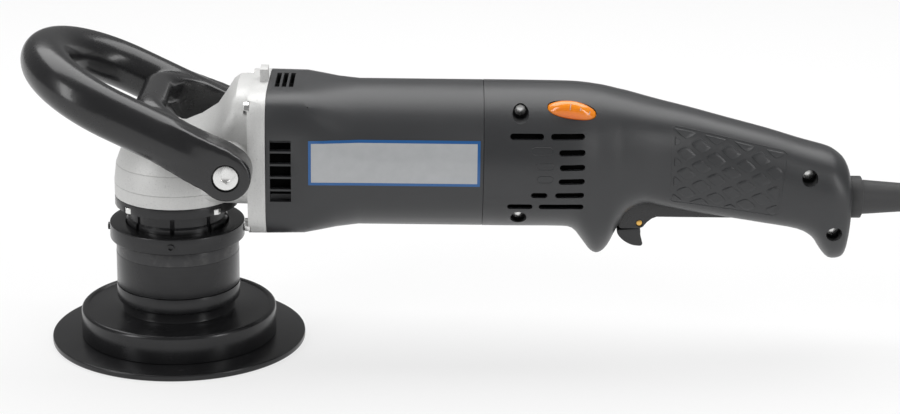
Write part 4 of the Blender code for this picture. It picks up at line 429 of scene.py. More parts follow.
def close_mesh():
    """Turns all faces outward and ends the edit."""
    bpy.ops.mesh.select_all(action="SELECT")
    bpy.ops.mesh.normals_make_consistent(inside=False)
    bpy.ops.object.mode_set(mode="OBJECT")


def copied(node, name):
    """A welded copy of a solid, with its flat triangles joined."""
    piece = placed(name, NODES[node].data.copy())
    alone(piece)
    bpy.ops.mesh.customdata_custom_splitnormals_clear()
    open_mesh(piece)
    bpy.ops.mesh.remove_doubles(threshold=WELD)
    bpy.ops.mesh.dissolve_limited(angle_limit=FLAT)
    bpy.ops.object.mode_set(mode="OBJECT")
    return piece


def skin(node, width):
    piece = rounded(copied(node, node + "_skin"), width)
    return dress(piece, node)


EDGE_WIDTHS = {
    "gear_housing": 0.0009,
    "bearing_flange": 0.0004,
    "motor_housing": 0.0005,
    "paddle": 0.0005,
    "cord_boot": 0.0006,
    "plug": 0.0006,
    "cord_tie": 0.0002,
    "cutter_head": 0.0003,
}
SCREW_WIDTH = 0.0002
skins = {}
for node in sorted(NODES):
    if node in EDGE_WIDTHS:
        skins[node] = skin(node, EDGE_WIDTHS[node])
    elif "screw" in node or "bolt" in node or node in ("pilot_bearing", "catch_pin"):
        skins[node] = skin(node, SCREW_WIDTH)
print("skins:", len(skins))

# %% Finishes of the pieces inside
for node, solid in NODES.items():
    solid.data.materials.clear()
    solid.data.materials.append(FINISHES[SLOT_OF[node]])

# %% [markdown]
# ## Guide
# The black guide is turned on a lathe, so each part of it is one outline spun round
# the axis. By hand that is a ring of edges, extruded from corner to corner of the
# outline: extrude, scale to the new radius, lift to the new height. The last ring
# meets the first one, which closes the solid, and its normals are then put right.

# %% Turned parts of the guide
FINE_STEPS = 128
ORIGIN = (0.0, 0.0, 0.0)


def spun(name, outline, steps=FINE_STEPS):
    """A closed ring whose section is the outline, as radius and height from corner to corner."""
    radius, height = outline[0]
    bpy.ops.mesh.primitive_circle_add(vertices=steps, radius=radius, location=(0.0, 0.0, height))
    piece = bpy.context.object
    piece.name = name
    open_mesh(settled(piece))
    for new_radius, new_height in [*outline[1:], outline[0]]:
        bpy.ops.mesh.extrude_edges_move()
        ratio = new_radius / radius
        bpy.ops.transform.resize(value=(ratio, ratio, 1.0), center_override=ORIGIN)
        bpy.ops.transform.translate(value=(0.0, 0.0, new_height - height))
        radius, height = new_radius, new_height
    bpy.ops.mesh.select_all(action="SELECT")
    bpy.ops.mesh.remove_doubles(threshold=WELD)
    close_mesh()
    return piece


def ring_outline(bore, radius, low, high):
    return [(radius, low), (radius, high), (bore, high), (bore, low)]


plate_low, plate_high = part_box("guide_plate")
PLATE_R = plate_high.x
PLATE_BORE = 0.030
PLATE_WIDTH = 0.0007
plate = spun("plate_turned", ring_outline(PLATE_BORE, PLATE_R, plate_low.z, plate_high.z))
dress(rounded(plate, PLATE_WIDTH, 3), "guide_plate")

sleeve_low, sleeve_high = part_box("depth_sleeve")
SLEEVE_R = sleeve_high.x
SLEEVE_WALL = 0.0062
SLEEVE_WIDTH = 0.0003
LINE = 0.00012
band = BAND_LOW
sleeve = spun("sleeve_turned", [
    (SLEEVE_R, sleeve_low.z),
    (SLEEVE_R, band - LINE),
    (SLEEVE_R - LINE, band),
    (SLEEVE_R - LINE, sleeve_high.z),
    (SLEEVE_R - SLEEVE_WALL, sleeve_high.z),
    (SLEEVE_R - SLEEVE_WALL, sleeve_low.z),
])
dress(rounded(sleeve, SLEEVE_WIDTH, 2, STEEP), "depth_sleeve")
print("plate across, in mm:", round(PLATE_R * 2000, 1))

# %% Bell and clamp ring
bell_low, bell_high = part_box("guide_bell")
BELL_R = bell_high.x
BELL_TOP = 0.0212
NECK_BORE = 0.0313
HUB_R = 0.0378
HUB_NECK_R = 0.0345
HUB_NECK_TOP = 0.0262
HUB_ROUND = 0.0026
EDGE_ROUND = 0.0022
GROOVE = 0.0009
BELL_WALL = 0.009
BELL_ROOF = 0.0042
BELL_WIDTH = 0.0002
BELL_LIMIT = radians(50)
RING_WIDTH = 0.0006


def quarter(radius, height, size, steps=5, inward=False):
    """Points of a rounded corner that ends at this radius and height."""
    for i in range(steps + 1):
        angle = pi / 2 * i / steps
        across = radius - size + size * sin(angle)
        lift = size * cos(angle)
        yield (across, height - size + lift) if not inward else (across, height + size - lift)


groove_out = BELL_R - EDGE_ROUND * 2
outline = [(NECK_BORE, bell_high.z), (HUB_R, bell_high.z)]
outline += list(quarter(HUB_R, HUB_NECK_TOP, HUB_ROUND, 5, True))[::-1]
outline += [(HUB_NECK_R, HUB_NECK_TOP), (HUB_NECK_R, BELL_TOP - GROOVE)]
outline += [(groove_out, BELL_TOP - GROOVE), (groove_out + GROOVE, BELL_TOP)]
outline += list(quarter(BELL_R, BELL_TOP, EDGE_ROUND))
outline += [(BELL_R, bell_low.z), (BELL_R - BELL_WALL, bell_low.z)]
outline += [(BELL_R - BELL_WALL, BELL_TOP - BELL_ROOF), (NECK_BORE, BELL_TOP - BELL_ROOF)]
bell = spun("bell_turned", outline)
dress(rounded(bell, BELL_WIDTH, 2, BELL_LIMIT), "guide_bell")

ring_low, ring_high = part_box("clamp_ring")
ring = spun("ring_turned", ring_outline(NECK_BORE, ring_high.x, ring_low.z, ring_high.z))
dress(rounded(ring, RING_WIDTH, 3), "clamp_ring")
print("bell across, in mm:", round(BELL_R * 2000, 1))

# %% [markdown]
# ## Loop handle
# The handle is one moulding: a thick tube bent to a loop, a thinner bridge that joins
# its two arms, and a round eye at each end for the bolt. Curves make the tubes, rods
# make the eyes, and a Boolean cuts the gap of the fork. A Voxel Remesh then melts all
# into one skin, Smooth softens it as a mould does, and the bolt recesses come last.

# %% Bent tubes
PIVOT = Vector((0.0355, 0.0, 0.123))
LOOP_TILT = radians(25.8)
up_handle = Matrix.Translation(PIVOT) @ Matrix.Rotation(pi + LOOP_TILT, 4, "Y")


def tube_curve(name, points, radius, fineness):
    """An open curve along the points, with a round bevel and closed ends."""
    line = bpy.data.curves.new(name, "CURVE")
    line.dimensions = "3D"
    line.bevel_depth = radius
    line.bevel_resolution = fineness
    line.use_fill_caps = True
    spline = line.splines.new("POLY")
    spline.points.add(len(points) - 1)
    for place, point in zip(spline.points, points):
        place.co = (*point, 1.0)
    return line


def bent_tube(name, points, radius, matrix, fineness=12):
    """Such a tube, made a mesh."""
    piece = placed(name, tube_curve(name, points, radius, fineness))
    piece.matrix_world = matrix
    alone(piece)
    bpy.ops.object.convert(target="MESH")
    return settled(bpy.context.object)

# %% Loop, bridge and eyes
HALF_SPAN = 0.052
TUBE_R = 0.0148
STRAIGHT = 0.073
OFFSET = -0.0012
TURN_STEPS = 36
BRIDGE_R = 0.0092
BRIDGE_LIFT = -0.0045
BRIDGE_REACH = 0.0565
BRIDGE_CORNER = 0.026
BRIDGE_START = 0.012
BRIDGE_HALF = 0.0455
FORK_HALF = 0.0450
FORK_DEPTH = 0.046
FORK_CORNER = 0.020
BOLT_HOLE_R = 0.0043
RECESS_R = 0.0083
RECESS_FLOOR = 0.0622
CUT_OVER = 0.01
VOXEL = 0.0009
SOFTEN_TIMES = 22
EYE_TAPER = 0.03
ROUND_STEPS = 12

loop = [(0.0, HALF_SPAN, OFFSET)]
for i in range(TURN_STEPS + 1):
    angle = pi / 2 - pi * i / TURN_STEPS
    loop.append((STRAIGHT + HALF_SPAN * cos(angle), HALF_SPAN * sin(angle), OFFSET))
loop.append((0.0, -HALF_SPAN, OFFSET))


def square_bend(start, reach, half, corner, steps):
    """X and Y along one arm, round a corner, straight across and back along the other arm."""
    near = [(start, half)]
    for i in range(steps + 1):
        angle = pi / 2 * i / steps
        across = reach - corner * (1 - sin(angle))
        near.append((across, half - corner * (1 - cos(angle))))
    return near + [(x, -y) for x, y in reversed(near)]


bend = square_bend(BRIDGE_START, BRIDGE_REACH, BRIDGE_HALF, BRIDGE_CORNER, TURN_STEPS // 2)
bridge_line = [(x, y, OFFSET + BRIDGE_LIFT) for x, y in bend]
handle = bent_tube("handle_moulding", loop, TUBE_R, up_handle)
bridge = bent_tube("handle_bridge", bridge_line, BRIDGE_R, up_handle)


def rod(name, radius, start, end, steps=64):
    """A round rod from one point to another."""
    along = end - start
    turn = along.to_track_quat("Z", "Y").to_euler()
    middle = (start + end) / 2
    bpy.ops.mesh.primitive_cylinder_add(
        vertices=steps, radius=radius, depth=along.length, location=middle, rotation=turn
    )
    piece = bpy.context.object
    piece.name = name
    return settled(piece)


def combine(piece, other, operation="DIFFERENCE"):
    """A Boolean with another piece, which is then deleted."""
    alone(piece)
    cut = piece.modifiers.new("cut", "BOOLEAN")
    cut.operation = operation
    cut.object = other
    bpy.ops.object.modifier_apply(modifier="cut")
    bpy.data.objects.remove(other)
    return piece


def across_pivot(name, radius, side, inner, outer, along=0.0):
    """A rod across the handle, at the pivot or further along the arm."""
    centre = up_handle @ Vector((along, 0.0, OFFSET if along else 0.0))
    start = centre + Vector((0.0, side * inner, 0.0))
    return rod(name, radius, start, centre + Vector((0.0, side * outer, 0.0)))


combine(handle, bridge, "UNION")
EYE_SHARES = (
    (0.0, 1.0),
    (0.45, 0.985),
    (0.9, 0.95),
    (1.35, 0.89),
    (1.8, 0.80),
    (2.2, 0.70),
    (2.6, 0.58),
    (3.0, 0.44),
)
for side in (-1.0, 1.0):
    for along, reach in EYE_SHARES:
        outer = HALF_SPAN + TUBE_R * reach
        radius = TUBE_R * (1 - EYE_TAPER * along)
        inner = max(FORK_HALF - CUT_OVER / 2, HALF_SPAN - TUBE_R * reach)
        eye = across_pivot("eye", radius, side, inner, outer, TUBE_R * along)
        combine(handle, eye, "UNION")

# %% Cut the fork, melt the parts together, cut the bolt recesses
def prism(name, outline, low, high, matrix):
    """A flat outline, given as X and Y from corner to corner, extruded along its own Z."""
    form = bmesh.new()
    corners = [form.verts.new((x, y, low)) for x, y in outline]
    form.faces.new(corners)
    piece = built(name, form)
    open_mesh(piece)
    lift = {"value": (0.0, 0.0, high - low)}
    bpy.ops.mesh.extrude_region_move(TRANSFORM_OT_translate=lift)
    close_mesh()
    return put(piece, matrix)


fork_outline = square_bend(-TUBE_R - CUT_OVER, FORK_DEPTH, FORK_HALF, FORK_CORNER, ROUND_STEPS)
fork = prism("fork", fork_outline, -TUBE_R * 2, TUBE_R * 2, up_handle)
combine(handle, fork)
alone(handle)
melt = handle.modifiers.new("melt", "REMESH")
melt.mode = "VOXEL"
melt.voxel_size = VOXEL
melt.use_smooth_shade = True
bpy.ops.object.modifier_apply(modifier="melt")
even = handle.modifiers.new("even", "CORRECTIVE_SMOOTH")
even.use_only_smooth = True
even.iterations = SOFTEN_TIMES
even.factor = 0.5
bpy.ops.object.modifier_apply(modifier="even")
for side in (-1.0, 1.0):
    hole = across_pivot("hole", BOLT_HOLE_R, side, FORK_HALF - CUT_OVER, RECESS_FLOOR + CUT_OVER)
    combine(handle, hole)
    recess = across_pivot("recess", RECESS_R, side, RECESS_FLOOR, RECESS_FLOOR + CUT_OVER)
    combine(handle, recess)
dress(rounded(handle), "loop_handle")
print("handle faces:", len(handle.data.polygons))

# %% [markdown]
# ## Rear shells
# The dark rear moulding changes its section all along: a circle behind the motor, then
# a slim grip, with a guard lobe for the fingers and one that holds the cord.
# Such a form is a loft: a row of sections, each a squared circle with its own top,
# bottom, width and squareness. A few rows are chosen, and a smooth curve through
# them gives the many rows between. The wall is left by cutting out a smaller loft.

# %% Sections and lofts
AXIS_Z = 0.1209
BARREL_R = 0.0444
SECTION_SIDES = 72
ROWS_BETWEEN = 3


def section(half_width, top, bottom, middle, upper, lower):
    """A squared circle, whose upper and lower halves have their own squareness."""
    points = []
    for i in range(SECTION_SIDES):
        angle = tau * i / SECTION_SIDES
        across, rise = cos(angle), sin(angle)
        power = 2 / (upper if rise >= 0 else lower)
        reach = (top if rise >= 0 else bottom) - middle
        y = copysign(abs(across) ** power, across) * half_width
        points.append((y, middle + abs(rise) ** power * reach))
    return points


def between(before, start, end, after, share):
    """A point of the smooth curve through four chosen ones, from the second to the third."""
    return (
        start * 2
        + (end - before) * share
        + (before * 2 - start * 5 + end * 4 - after) * share**2
        + (start * 3 - before - end * 3 + after) * share**3
    ) / 2


def smooth(points, steps=4):
    """Points, or rows of numbers, on a smooth curve through the chosen ones."""
    chosen = [Vector(point) for point in points]
    padded = [chosen[0] * 2 - chosen[1], *chosen, chosen[-1] * 2 - chosen[-2]]
    route = []
    for four in zip(padded, padded[1:], padded[2:], padded[3:]):
        route += [between(*four, i / steps) for i in range(steps)]
    return [*route, chosen[-1]]


def span_rings(form, rings):
    """Faces between rings of like point counts, and one face over each end."""
    made = [[form.verts.new(point) for point in ring] for ring in rings]
    for ring, after in zip(made, made[1:]):
        for i in range(len(ring)):
            j = (i + 1) % len(ring)
            form.faces.new((ring[i], ring[j], after[j], after[i]))
    form.faces.new(made[0][::-1])
    form.faces.new(made[-1])


def lofted(name, rings):
    """A closed skin through rings."""
    form = bmesh.new()
    span_rings(form, rings)
    bmesh.ops.recalc_face_normals(form, faces=form.faces)
    return built(name, form)


def box_cutter(name, low, high):
    middle = [(a + b) / 2 for a, b in zip(low, high)]
    bpy.ops.mesh.primitive_cube_add(size=1.0, location=middle)
    piece = bpy.context.object
    piece.name = name
    piece.scale = [b - a for a, b in zip(low, high)]
    return settled(piece)


def joined(pieces):
    """Several meshes made one object, whose bodies stay apart."""
    alone(pieces[0])
    for piece in pieces[1:]:
        piece.select_set(True)
    bpy.ops.object.join()
    return bpy.context.object

# %% Rear shells: outer form, less the hollow
SHELL_FRONT = 0.1864
SHELL_LENGTH = 0.224
SHELL_WALL = 0.003
SEAM = 0.00015
OVER = 0.002
# Along, top, bottom, half width and middle as shares of the barrel, then squareness above and below.
SHELL_ROW_SHARES = (
    (0.0, 1.0, -1.0, 1.0, 0.0, 2.0, 2.0),
    (0.10, 1.0, -1.0, 0.998, 0.0, 2.0, 2.0),
    (0.20, 0.997, -0.998, 0.99, 0.0, 2.0, 2.0),
    (0.245, 0.99, -1.03, 0.97, -0.01, 2.05, 1.97),
    (0.275, 0.977, -1.215, 0.938, -0.03, 2.1, 1.85),
    (0.300, 0.96, -1.385, 0.905, -0.05, 2.15, 1.7),
    (0.322, 0.942, -1.42, 0.88, -0.06, 2.2, 1.65),
    (0.344, 0.918, -1.315, 0.855, -0.05, 2.22, 1.72),
    (0.366, 0.89, -1.06, 0.825, -0.04, 2.26, 1.88),
    (0.392, 0.86, -0.80, 0.795, -0.02, 2.3, 2.1),
    (0.436, 0.80, -0.655, 0.745, 0.01, 2.3, 2.3),
    (0.485, 0.736, -0.69, 0.69, -0.02, 2.35, 2.4),
    (0.56, 0.646, -0.77, 0.63, -0.10, 2.4, 2.4),
    (0.66, 0.512, -0.845, 0.60, -0.20, 2.4, 2.4),
    (0.77, 0.366, -0.93, 0.585, -0.31, 2.4, 2.4),
    (0.86, 0.23, -1.01, 0.59, -0.41, 2.35, 2.3),
    (0.905, 0.17, -1.14, 0.594, -0.45, 2.3, 2.1),
    (0.93, 0.135, -1.32, 0.595, -0.47, 2.3, 1.9),
    (0.955, 0.085, -1.455, 0.583, -0.48, 2.3, 1.8),
    (0.982, -0.02, -1.455, 0.54, -0.51, 2.2, 1.85),
    (0.995, -0.14, -1.40, 0.47, -0.54, 2.15, 1.9),
    (1.0, -0.27, -1.28, 0.40, -0.57, 2.1, 2.0),
)
SCREW_SHARES = ((0.096, 0.74, 0.41), (0.096, -0.707, 0.41), (0.878, -0.16, 0.27), (0.955, -0.98, 0.20))
BOSS_R = 0.0064
ROD_STEPS = 32
RECESS_R_SHELL = 0.0049
PADDLE_ROOM_LOW = (0.2672, -0.0116, 0.05)
PADDLE_ROOM_HIGH = (0.3515, 0.0116, 0.0985)
BOOT_HOLE_R = 0.0088
BOOT_Z = 0.0950


def shell_x(share):
    return SHELL_FRONT + SHELL_LENGTH * share


def shell_z(share):
    return AXIS_Z + BARREL_R * share


def shell_rings(inset):
    rings = []
    for along, top, bottom, width, middle, upper, lower in smooth(SHELL_ROW_SHARES, ROWS_BETWEEN):
        high, low = shell_z(top) - inset, shell_z(bottom) + inset
        flat = section(BARREL_R * width - inset, high, low, shell_z(middle), upper, lower)
        rings.append([(shell_x(along), y, z) for y, z in flat])
    return rings


def moved(ring, by):
    return [(x + by, y, z) for x, y, z in ring]


shell_form = lofted("shell_form", shell_rings(0.0))
inner_rings = shell_rings(SHELL_WALL)
inner_rings[0] = moved(inner_rings[0], -OVER)
for i in range(-ROWS_BETWEEN, 0):
    inner_rings[i] = moved(inner_rings[i], -SHELL_WALL)
hollow = lofted("hollow", inner_rings)


def screw_rods(radius, through=False):
    """Rods from outside the near side, one at each screw, right through or to its depth."""
    rods = []
    for along, height, depth in SCREW_SHARES:
        x, z = shell_x(along), shell_z(height)
        start = Vector((x, -BARREL_R - OVER, z))
        end = Vector((x, BARREL_R + OVER if through else -BARREL_R * depth, z))
        rods.append(rod("screw_rod", radius, start, end, ROD_STEPS))
    return joined(rods)


combine(hollow, screw_rods(BOSS_R, True))
combine(shell_form, hollow)
print("shell form faces:", len(shell_form.data.polygons))

# %% [markdown]
# ### Vents, recesses and the two halves
# A vent is a slot with round ends that goes straight in from the side. All slots of
# one side are one cutter. The form is then parted at the middle plane: a copy for
# each side, cut by a box that takes the other half away and leaves a fine seam.

# %% Cut the shells
VENT_H = 0.0036
CROWN_POWER = 2.3
CROWN_LEAST = 0.62
CROWN_STEPS = 12
AXLE_SHARE = 0.1
DIAL_GAP = 0.0006
DIAL_STEPS = 96
VENT_SHARES = (
    (0.48, 0.068, 0.158),
    (0.48, 0.176, 0.266),
    (0.28, 0.198, 0.268),
    (0.085, 0.200, 0.268),
    (-0.11, 0.198, 0.268),
    (-0.315, 0.126, 0.170),
    (-0.315, 0.190, 0.268),
    (-0.50, 0.064, 0.132),
    (-0.50, 0.148, 0.268),
)
BLIND_VENTS = (
    (0.2141, 0.2274, 0.1323, 0.1365),
    (0.2173, 0.2280, 0.1234, 0.1274),
    (0.2179, 0.2279, 0.1153, 0.1195),
)
SIDE_VIEW = Matrix.Rotation(pi / 2, 4, "X")


def slot(start, end, height, thick, steps=8):
    """The outline of a slot with round ends, seen from the side."""
    radius = thick / 2
    points = []
    for centre, turn in ((end - radius, -pi / 2), (start + radius, pi / 2)):
        for i in range(steps + 1):
            angle = turn + pi * i / steps
            points.append((centre + radius * cos(angle), height + radius * sin(angle)))
    return points


DIAL_SIDE = DIAL_OUT.cross(DIAL_AXLE)
dial_frame = Matrix((DIAL_SIDE, DIAL_OUT, DIAL_AXLE)).transposed().to_4x4()
dial_frame.translation = DIAL_AT


def crown(share):
    """Radius of the dial's rim, as a share of the largest, at a share of the half width."""
    return max((1 - min(abs(share), 1.0) ** CROWN_POWER) ** (1 / CROWN_POWER), CROWN_LEAST)


def dial_outline(grow):
    rim, half = DIAL_R + grow, DIAL_HALF + grow
    shares = [k / CROWN_STEPS for k in range(CROWN_STEPS, -CROWN_STEPS - 1, -1)]
    outline = [(rim * crown(share), half * share) for share in shares]
    return outline + [(rim * AXLE_SHARE, -half), (rim * AXLE_SHARE, half)]


def half_shell(name, side):
    shell = placed(name, shell_form.data.copy())
    far = BARREL_R * 2
    ends = sorted((side * SEAM, -side * far))
    low = (SHELL_FRONT - OVER, ends[0], AXIS_Z - far)
    high = (shell_x(1.0) + OVER, ends[1], AXIS_Z + far)
    combine(shell, box_cutter("other_half", low, high))
    if side < 0:
        combine(shell, put(spun("dial_room", dial_outline(DIAL_GAP), DIAL_STEPS), dial_frame))
        combine(shell, screw_rods(RECESS_R_SHELL))
    slots = []
    reach = sorted((-side * (BARREL_R - SHELL_WALL * 4), -side * (BARREL_R + OVER)))
    for height, start, end in VENT_SHARES:
        outline = slot(shell_x(start), shell_x(end), shell_z(height), VENT_H)
        slots.append(prism("slot", outline, reach[0], reach[1], SIDE_VIEW))
    combine(shell, joined(slots))
    combine(shell, box_cutter("paddle_room", PADDLE_ROOM_LOW, PADDLE_ROOM_HIGH))
    boot_end = shell_x(1.0) + OVER
    start = Vector((boot_end - SHELL_WALL * 3, 0.0, BOOT_Z))
    hole = rod("boot_hole", BOOT_HOLE_R, start, Vector((boot_end, 0.0, BOOT_Z)), ROD_STEPS)
    combine(shell, hole)
    return shell


SIDES = (("near", -1.0), ("far", 1.0))
shells = {}
for name, side in SIDES:
    node = "rear_shell_" + name
    shells[name] = dress(rounded(half_shell(node + "_moulding", side)), node)
bpy.data.objects.remove(shell_form)
print("near shell faces:", len(shells["near"].data.polygons))

# %% [markdown]
# ### Details on the shells
# A panel of small lozenges keeps the hand from slipping. Each lozenge is drawn flat in
# the side view, trimmed to the panel, and laid on the shell: from each of its points a
# ray goes in from the side and tells where the surface is. Fine beads follow the edge
# of the panel and mark three blind vents in the same way. A black sheet behind the open
# vents is painted shade: it stands for the dark inside and hides the parts there.

# %% Grip pattern
PANEL_CORNERS = ((0.2989, 0.1455), (0.3691, 0.1288), (0.3644, 0.0893), (0.2987, 0.0988))
PANEL = [Vector(corner) for corner in PANEL_CORNERS]
PANEL_MARGIN = 0.05
PANEL_EASE = 0.03
LOZENGE_EASE = (0.14, 0.3)
LOZENGE_AT = Vector((0.3076, 0.1297))
LOZENGE_U = Vector((0.0089, 0.0041))
LOZENGE_V = Vector((0.0094, -0.0082))
LOZENGE_HALF = 0.36
LOZENGE_H = 0.0005
LOZENGE_CORNERS = ((-1, 1), (1, 1), (1, -1), (-1, -1))
LOZENGE_RINGS = ((1.0, -0.6), (1.0, 0.6), (0.93, 0.95), (0.5, 1.0))
LOZENGE_REACH = 8
LEAST_AREA = 0.000006
BEAD_R = 0.00022
RAY_FROM = 0.1


def laid(piece, side, spot, lift):
    """The place on a piece that is seen from the side at this X and Z, lifted a little."""
    start = Vector((spot[0], side * RAY_FROM, spot[1]))
    place = piece.ray_cast(start, Vector((0.0, -side, 0.0)))[1]
    return place + Vector((0.0, side * lift, 0.0))


def trimmed(outline, panel):
    """The part of a flat outline that lies in a panel, whose corners run clockwise."""
    for a, b in zip(panel, panel[1:] + panel[:1]):
        depth = [(b - a).cross(point - a) for point in outline]
        kept = []
        for i, point in enumerate(outline):
            j = (i + 1) % len(outline)
            if depth[i] <= 0:
                kept.append(point)
            if depth[i] * depth[j] < 0:
                kept.append(point.lerp(outline[j], depth[i] / (depth[i] - depth[j])))
        outline = kept
    return outline


def eased(outline, share):
    """An outline with each corner cut off, which rounds it when done twice."""
    points = []
    for a, b in zip(outline, outline[1:] + outline[:1]):
        points += [a.lerp(b, share), a.lerp(b, 1 - share)]
    return points


def area(outline):
    return abs(sum(a.cross(b) for a, b in zip(outline, outline[1:] + outline[:1]))) / 2


panel_middle = sum(PANEL, Vector((0.0, 0.0))) / len(PANEL)
margin = [corner.lerp(panel_middle, PANEL_MARGIN) for corner in PANEL]
lozenges = []
for i in range(-LOZENGE_REACH, LOZENGE_REACH + 1):
    for j in range(-LOZENGE_REACH, LOZENGE_REACH + 1):
        middle = LOZENGE_AT + LOZENGE_U * i + LOZENGE_V * j
        reaches = [LOZENGE_U * a + LOZENGE_V * b for a, b in LOZENGE_CORNERS]
        corners = trimmed([middle + reach * LOZENGE_HALF for reach in reaches], margin)
        if len(corners) > 2 and area(corners) > LEAST_AREA:
            lozenges.append(eased(eased(corners, LOZENGE_EASE[0]), LOZENGE_EASE[1]))


def grip_pattern(name, shell, side):
    form = bmesh.new()
    for outline in lozenges:
        middle = sum(outline, Vector((0.0, 0.0))) / len(outline)
        rings = []
        for share, lift in LOZENGE_RINGS:
            spots = [middle.lerp(point, share) for point in outline]
            rings.append([laid(shell, side, spot, lift * LOZENGE_H) for spot in spots])
        span_rings(form, rings)
    bmesh.ops.recalc_face_normals(form, faces=form.faces)
    return built(name, form)


def bead(name, outline, shell, side, parts=8):
    """A fine closed bead along a flat outline, laid on the shell."""
    corners = [Vector(point) for point in outline]
    points = []
    for a, b in zip(corners, corners[1:] + corners[:1]):
        points += [laid(shell, side, a.lerp(b, k / parts), 0.0) for k in range(parts)]
    return bent_tube(name, points + points[:2], BEAD_R, Matrix(), 2)


for name, side in SIDES:
    shell = shells[name]
    raised = [grip_pattern("grip_pattern_" + name, shell, side)]
    raised.append(bead("panel_bead", eased(PANEL, PANEL_EASE), shell, side))
    if side < 0:
        for start, end, low, high in BLIND_VENTS:
            outline = slot(start, end, (low + high) / 2, high - low, 3)
            raised.append(bead("blind_vent", outline, shell, side, 2))
    dress(rounded(joined(raised)), "rear_shell_" + name, stands_for=False)
print("lozenges on each side:", len(lozenges))

# %% Sheets of painted shade behind the vents
SHADE_SHEET_R = 0.0398
SHADE_SHEET_T = 0.0006
SHADE_SHEET_X = (0.1985, 0.2500)
SHADE_SHEET_TURN = (radians(-41), radians(37))
SHADE_SHEET_STEPS = 16
FAN_SHADE_STEPS = 64
FAN_SHADE_R = (SHADE_SHEET_R + 0.0004, SHADE_SHEET_R + 0.001)
FAN_SHADE_X = (0.0584, 0.0748)
END_VIEW = Matrix(((0, 0, 1, 0), (1, 0, 0, 0), (0, 1, 0, 0), (0, 0, 0, 1)))
for name, side in SIDES:
    arcs = []
    for radius, order in ((SHADE_SHEET_R, 1), (SHADE_SHEET_R - SHADE_SHEET_T, -1)):
        arc = []
        for k in range(SHADE_SHEET_STEPS + 1):
            angle = SHADE_SHEET_TURN[0] + (SHADE_SHEET_TURN[1] - SHADE_SHEET_TURN[0]) * k / SHADE_SHEET_STEPS
            arc.append((side * radius * cos(angle), AXIS_Z + radius * sin(angle)))
        arcs += arc[::order]
    painted_shade_sheet = prism("dust_gauze_" + name, arcs, *SHADE_SHEET_X, END_VIEW)
    dress(rounded(painted_shade_sheet), "rear_shell_near", "painted_shade_sheet", False)

# A ring of the same painted shade goes round the motor axis inside the motor housing.
fan_shade_sheet = spun("fan_shade_sheet", ring_outline(*FAN_SHADE_R, *FAN_SHADE_X), FAN_SHADE_STEPS)
put(fan_shade_sheet, Matrix.Translation((0.0, 0.0, AXIS_Z)) @ Matrix.Rotation(pi / 2, 4, "Y"))
dress(rounded(fan_shade_sheet), "motor_housing", "painted_shade_sheet", False)

# %% [markdown]
# ### Safety catch
# The catch is a small hook that a finger pushes forward before the paddle moves. Its
# side view is a smooth curve through a few points, extruded to its width.

# %% Safety catch
CATCH_AT = (0.2825, 0.0801)
CATCH_HALF_W = 0.0075
CATCH_WIDTH = 0.0008
LUG_R = 0.0038
LUG_HALF = Vector((0.0, 0.003, 0.0))
WEB_LOW = Vector((-0.0034, -0.0029, -0.008))
WEB_HIGH = Vector((0.0015, 0.0029, 0.0))
CATCH_HOOK = (
    (-0.0130, -0.0053),
    (-0.0128, -0.0082),
    (-0.0106, -0.0112),
    (-0.0076, -0.0136),
    (-0.0038, -0.0154),
    (0.0002, -0.0160),
    (0.0021, -0.0158),
    (0.0028, -0.0146),
    (0.0022, -0.0120),
    (0.0014, -0.0090),
    (0.0013, -0.0064),
    (0.0010, -0.0042),
)
hook = [(CATCH_AT[0] + x, CATCH_AT[1] + z) for x, z in smooth(CATCH_HOOK, 3)]
tongue = prism("catch_moulded", hook, -CATCH_HALF_W, CATCH_HALF_W, SIDE_VIEW)
rounded(tongue, CATCH_WIDTH, 3, STEEP)
pin_place = Vector((CATCH_AT[0], 0.0, CATCH_AT[1]))
lug = rod("lug", LUG_R, pin_place - LUG_HALF, pin_place + LUG_HALF)
web = box_cutter("web", pin_place + WEB_LOW, pin_place + WEB_HIGH)
skins["safety_catch"] = dress(rounded(joined([tongue, lug, web])), "safety_catch")
print("catch faces:", len(skins["safety_catch"].data.polygons))

# %% [markdown]
# ### Speed dial
# The dial stands in its window with its rim outwards. Its crowned rim is one outline
# spun round the axle. The numbers are text, made a mesh, sliced thin across so that it
# can bend, and wrapped onto the crown. Two short marks stand between two numbers.

# %% Dial and its numbers
NUMBER_H = 0.0052
NUMBER_LIFT = -0.0019
NUMBER_PROUD = 0.00025
NUMBER_STEP = radians(54)
NUMBER_COUNT = 6
SLICE_REACH = 4
MARK_LOW = (-0.0003, -NUMBER_H / 6, -0.0002)
MARK_HIGH = (0.0003, NUMBER_H / 6, NUMBER_PROUD)

dial = put(spun("dial_turned", dial_outline(0.0), DIAL_STEPS), dial_frame)
dress(rounded(dial), "speed_dial")


def on_rim(piece, turn):
    """Wraps a flat piece onto the rim at a turn from the window."""
    for point in piece.data.vertices:
        across, rise, thick = point.co
        rise += NUMBER_LIFT
        angle = pi / 2 - turn - across / DIAL_R
        radius = DIAL_R * crown(rise / DIAL_HALF) + thick
        point.co = (radius * cos(angle), radius * sin(angle), -rise)
    return put(piece, dial_frame)


def thin_slices(piece):
    """Cuts a flat piece into narrow strips, so that it bends smoothly."""
    step = NUMBER_H / SLICE_REACH / 2
    form = bmesh.new()
    form.from_mesh(piece.data)
    for normal in (Vector((1.0, 0.0, 0.0)), Vector((0.0, 1.0, 0.0))):
        for k in range(-SLICE_REACH, SLICE_REACH + 1):
            everything = form.verts[:] + form.edges[:] + form.faces[:]
            place = normal * step * k
            bmesh.ops.bisect_plane(form, geom=everything, plane_co=place, plane_no=normal)
    form.to_mesh(piece.data)
    form.free()


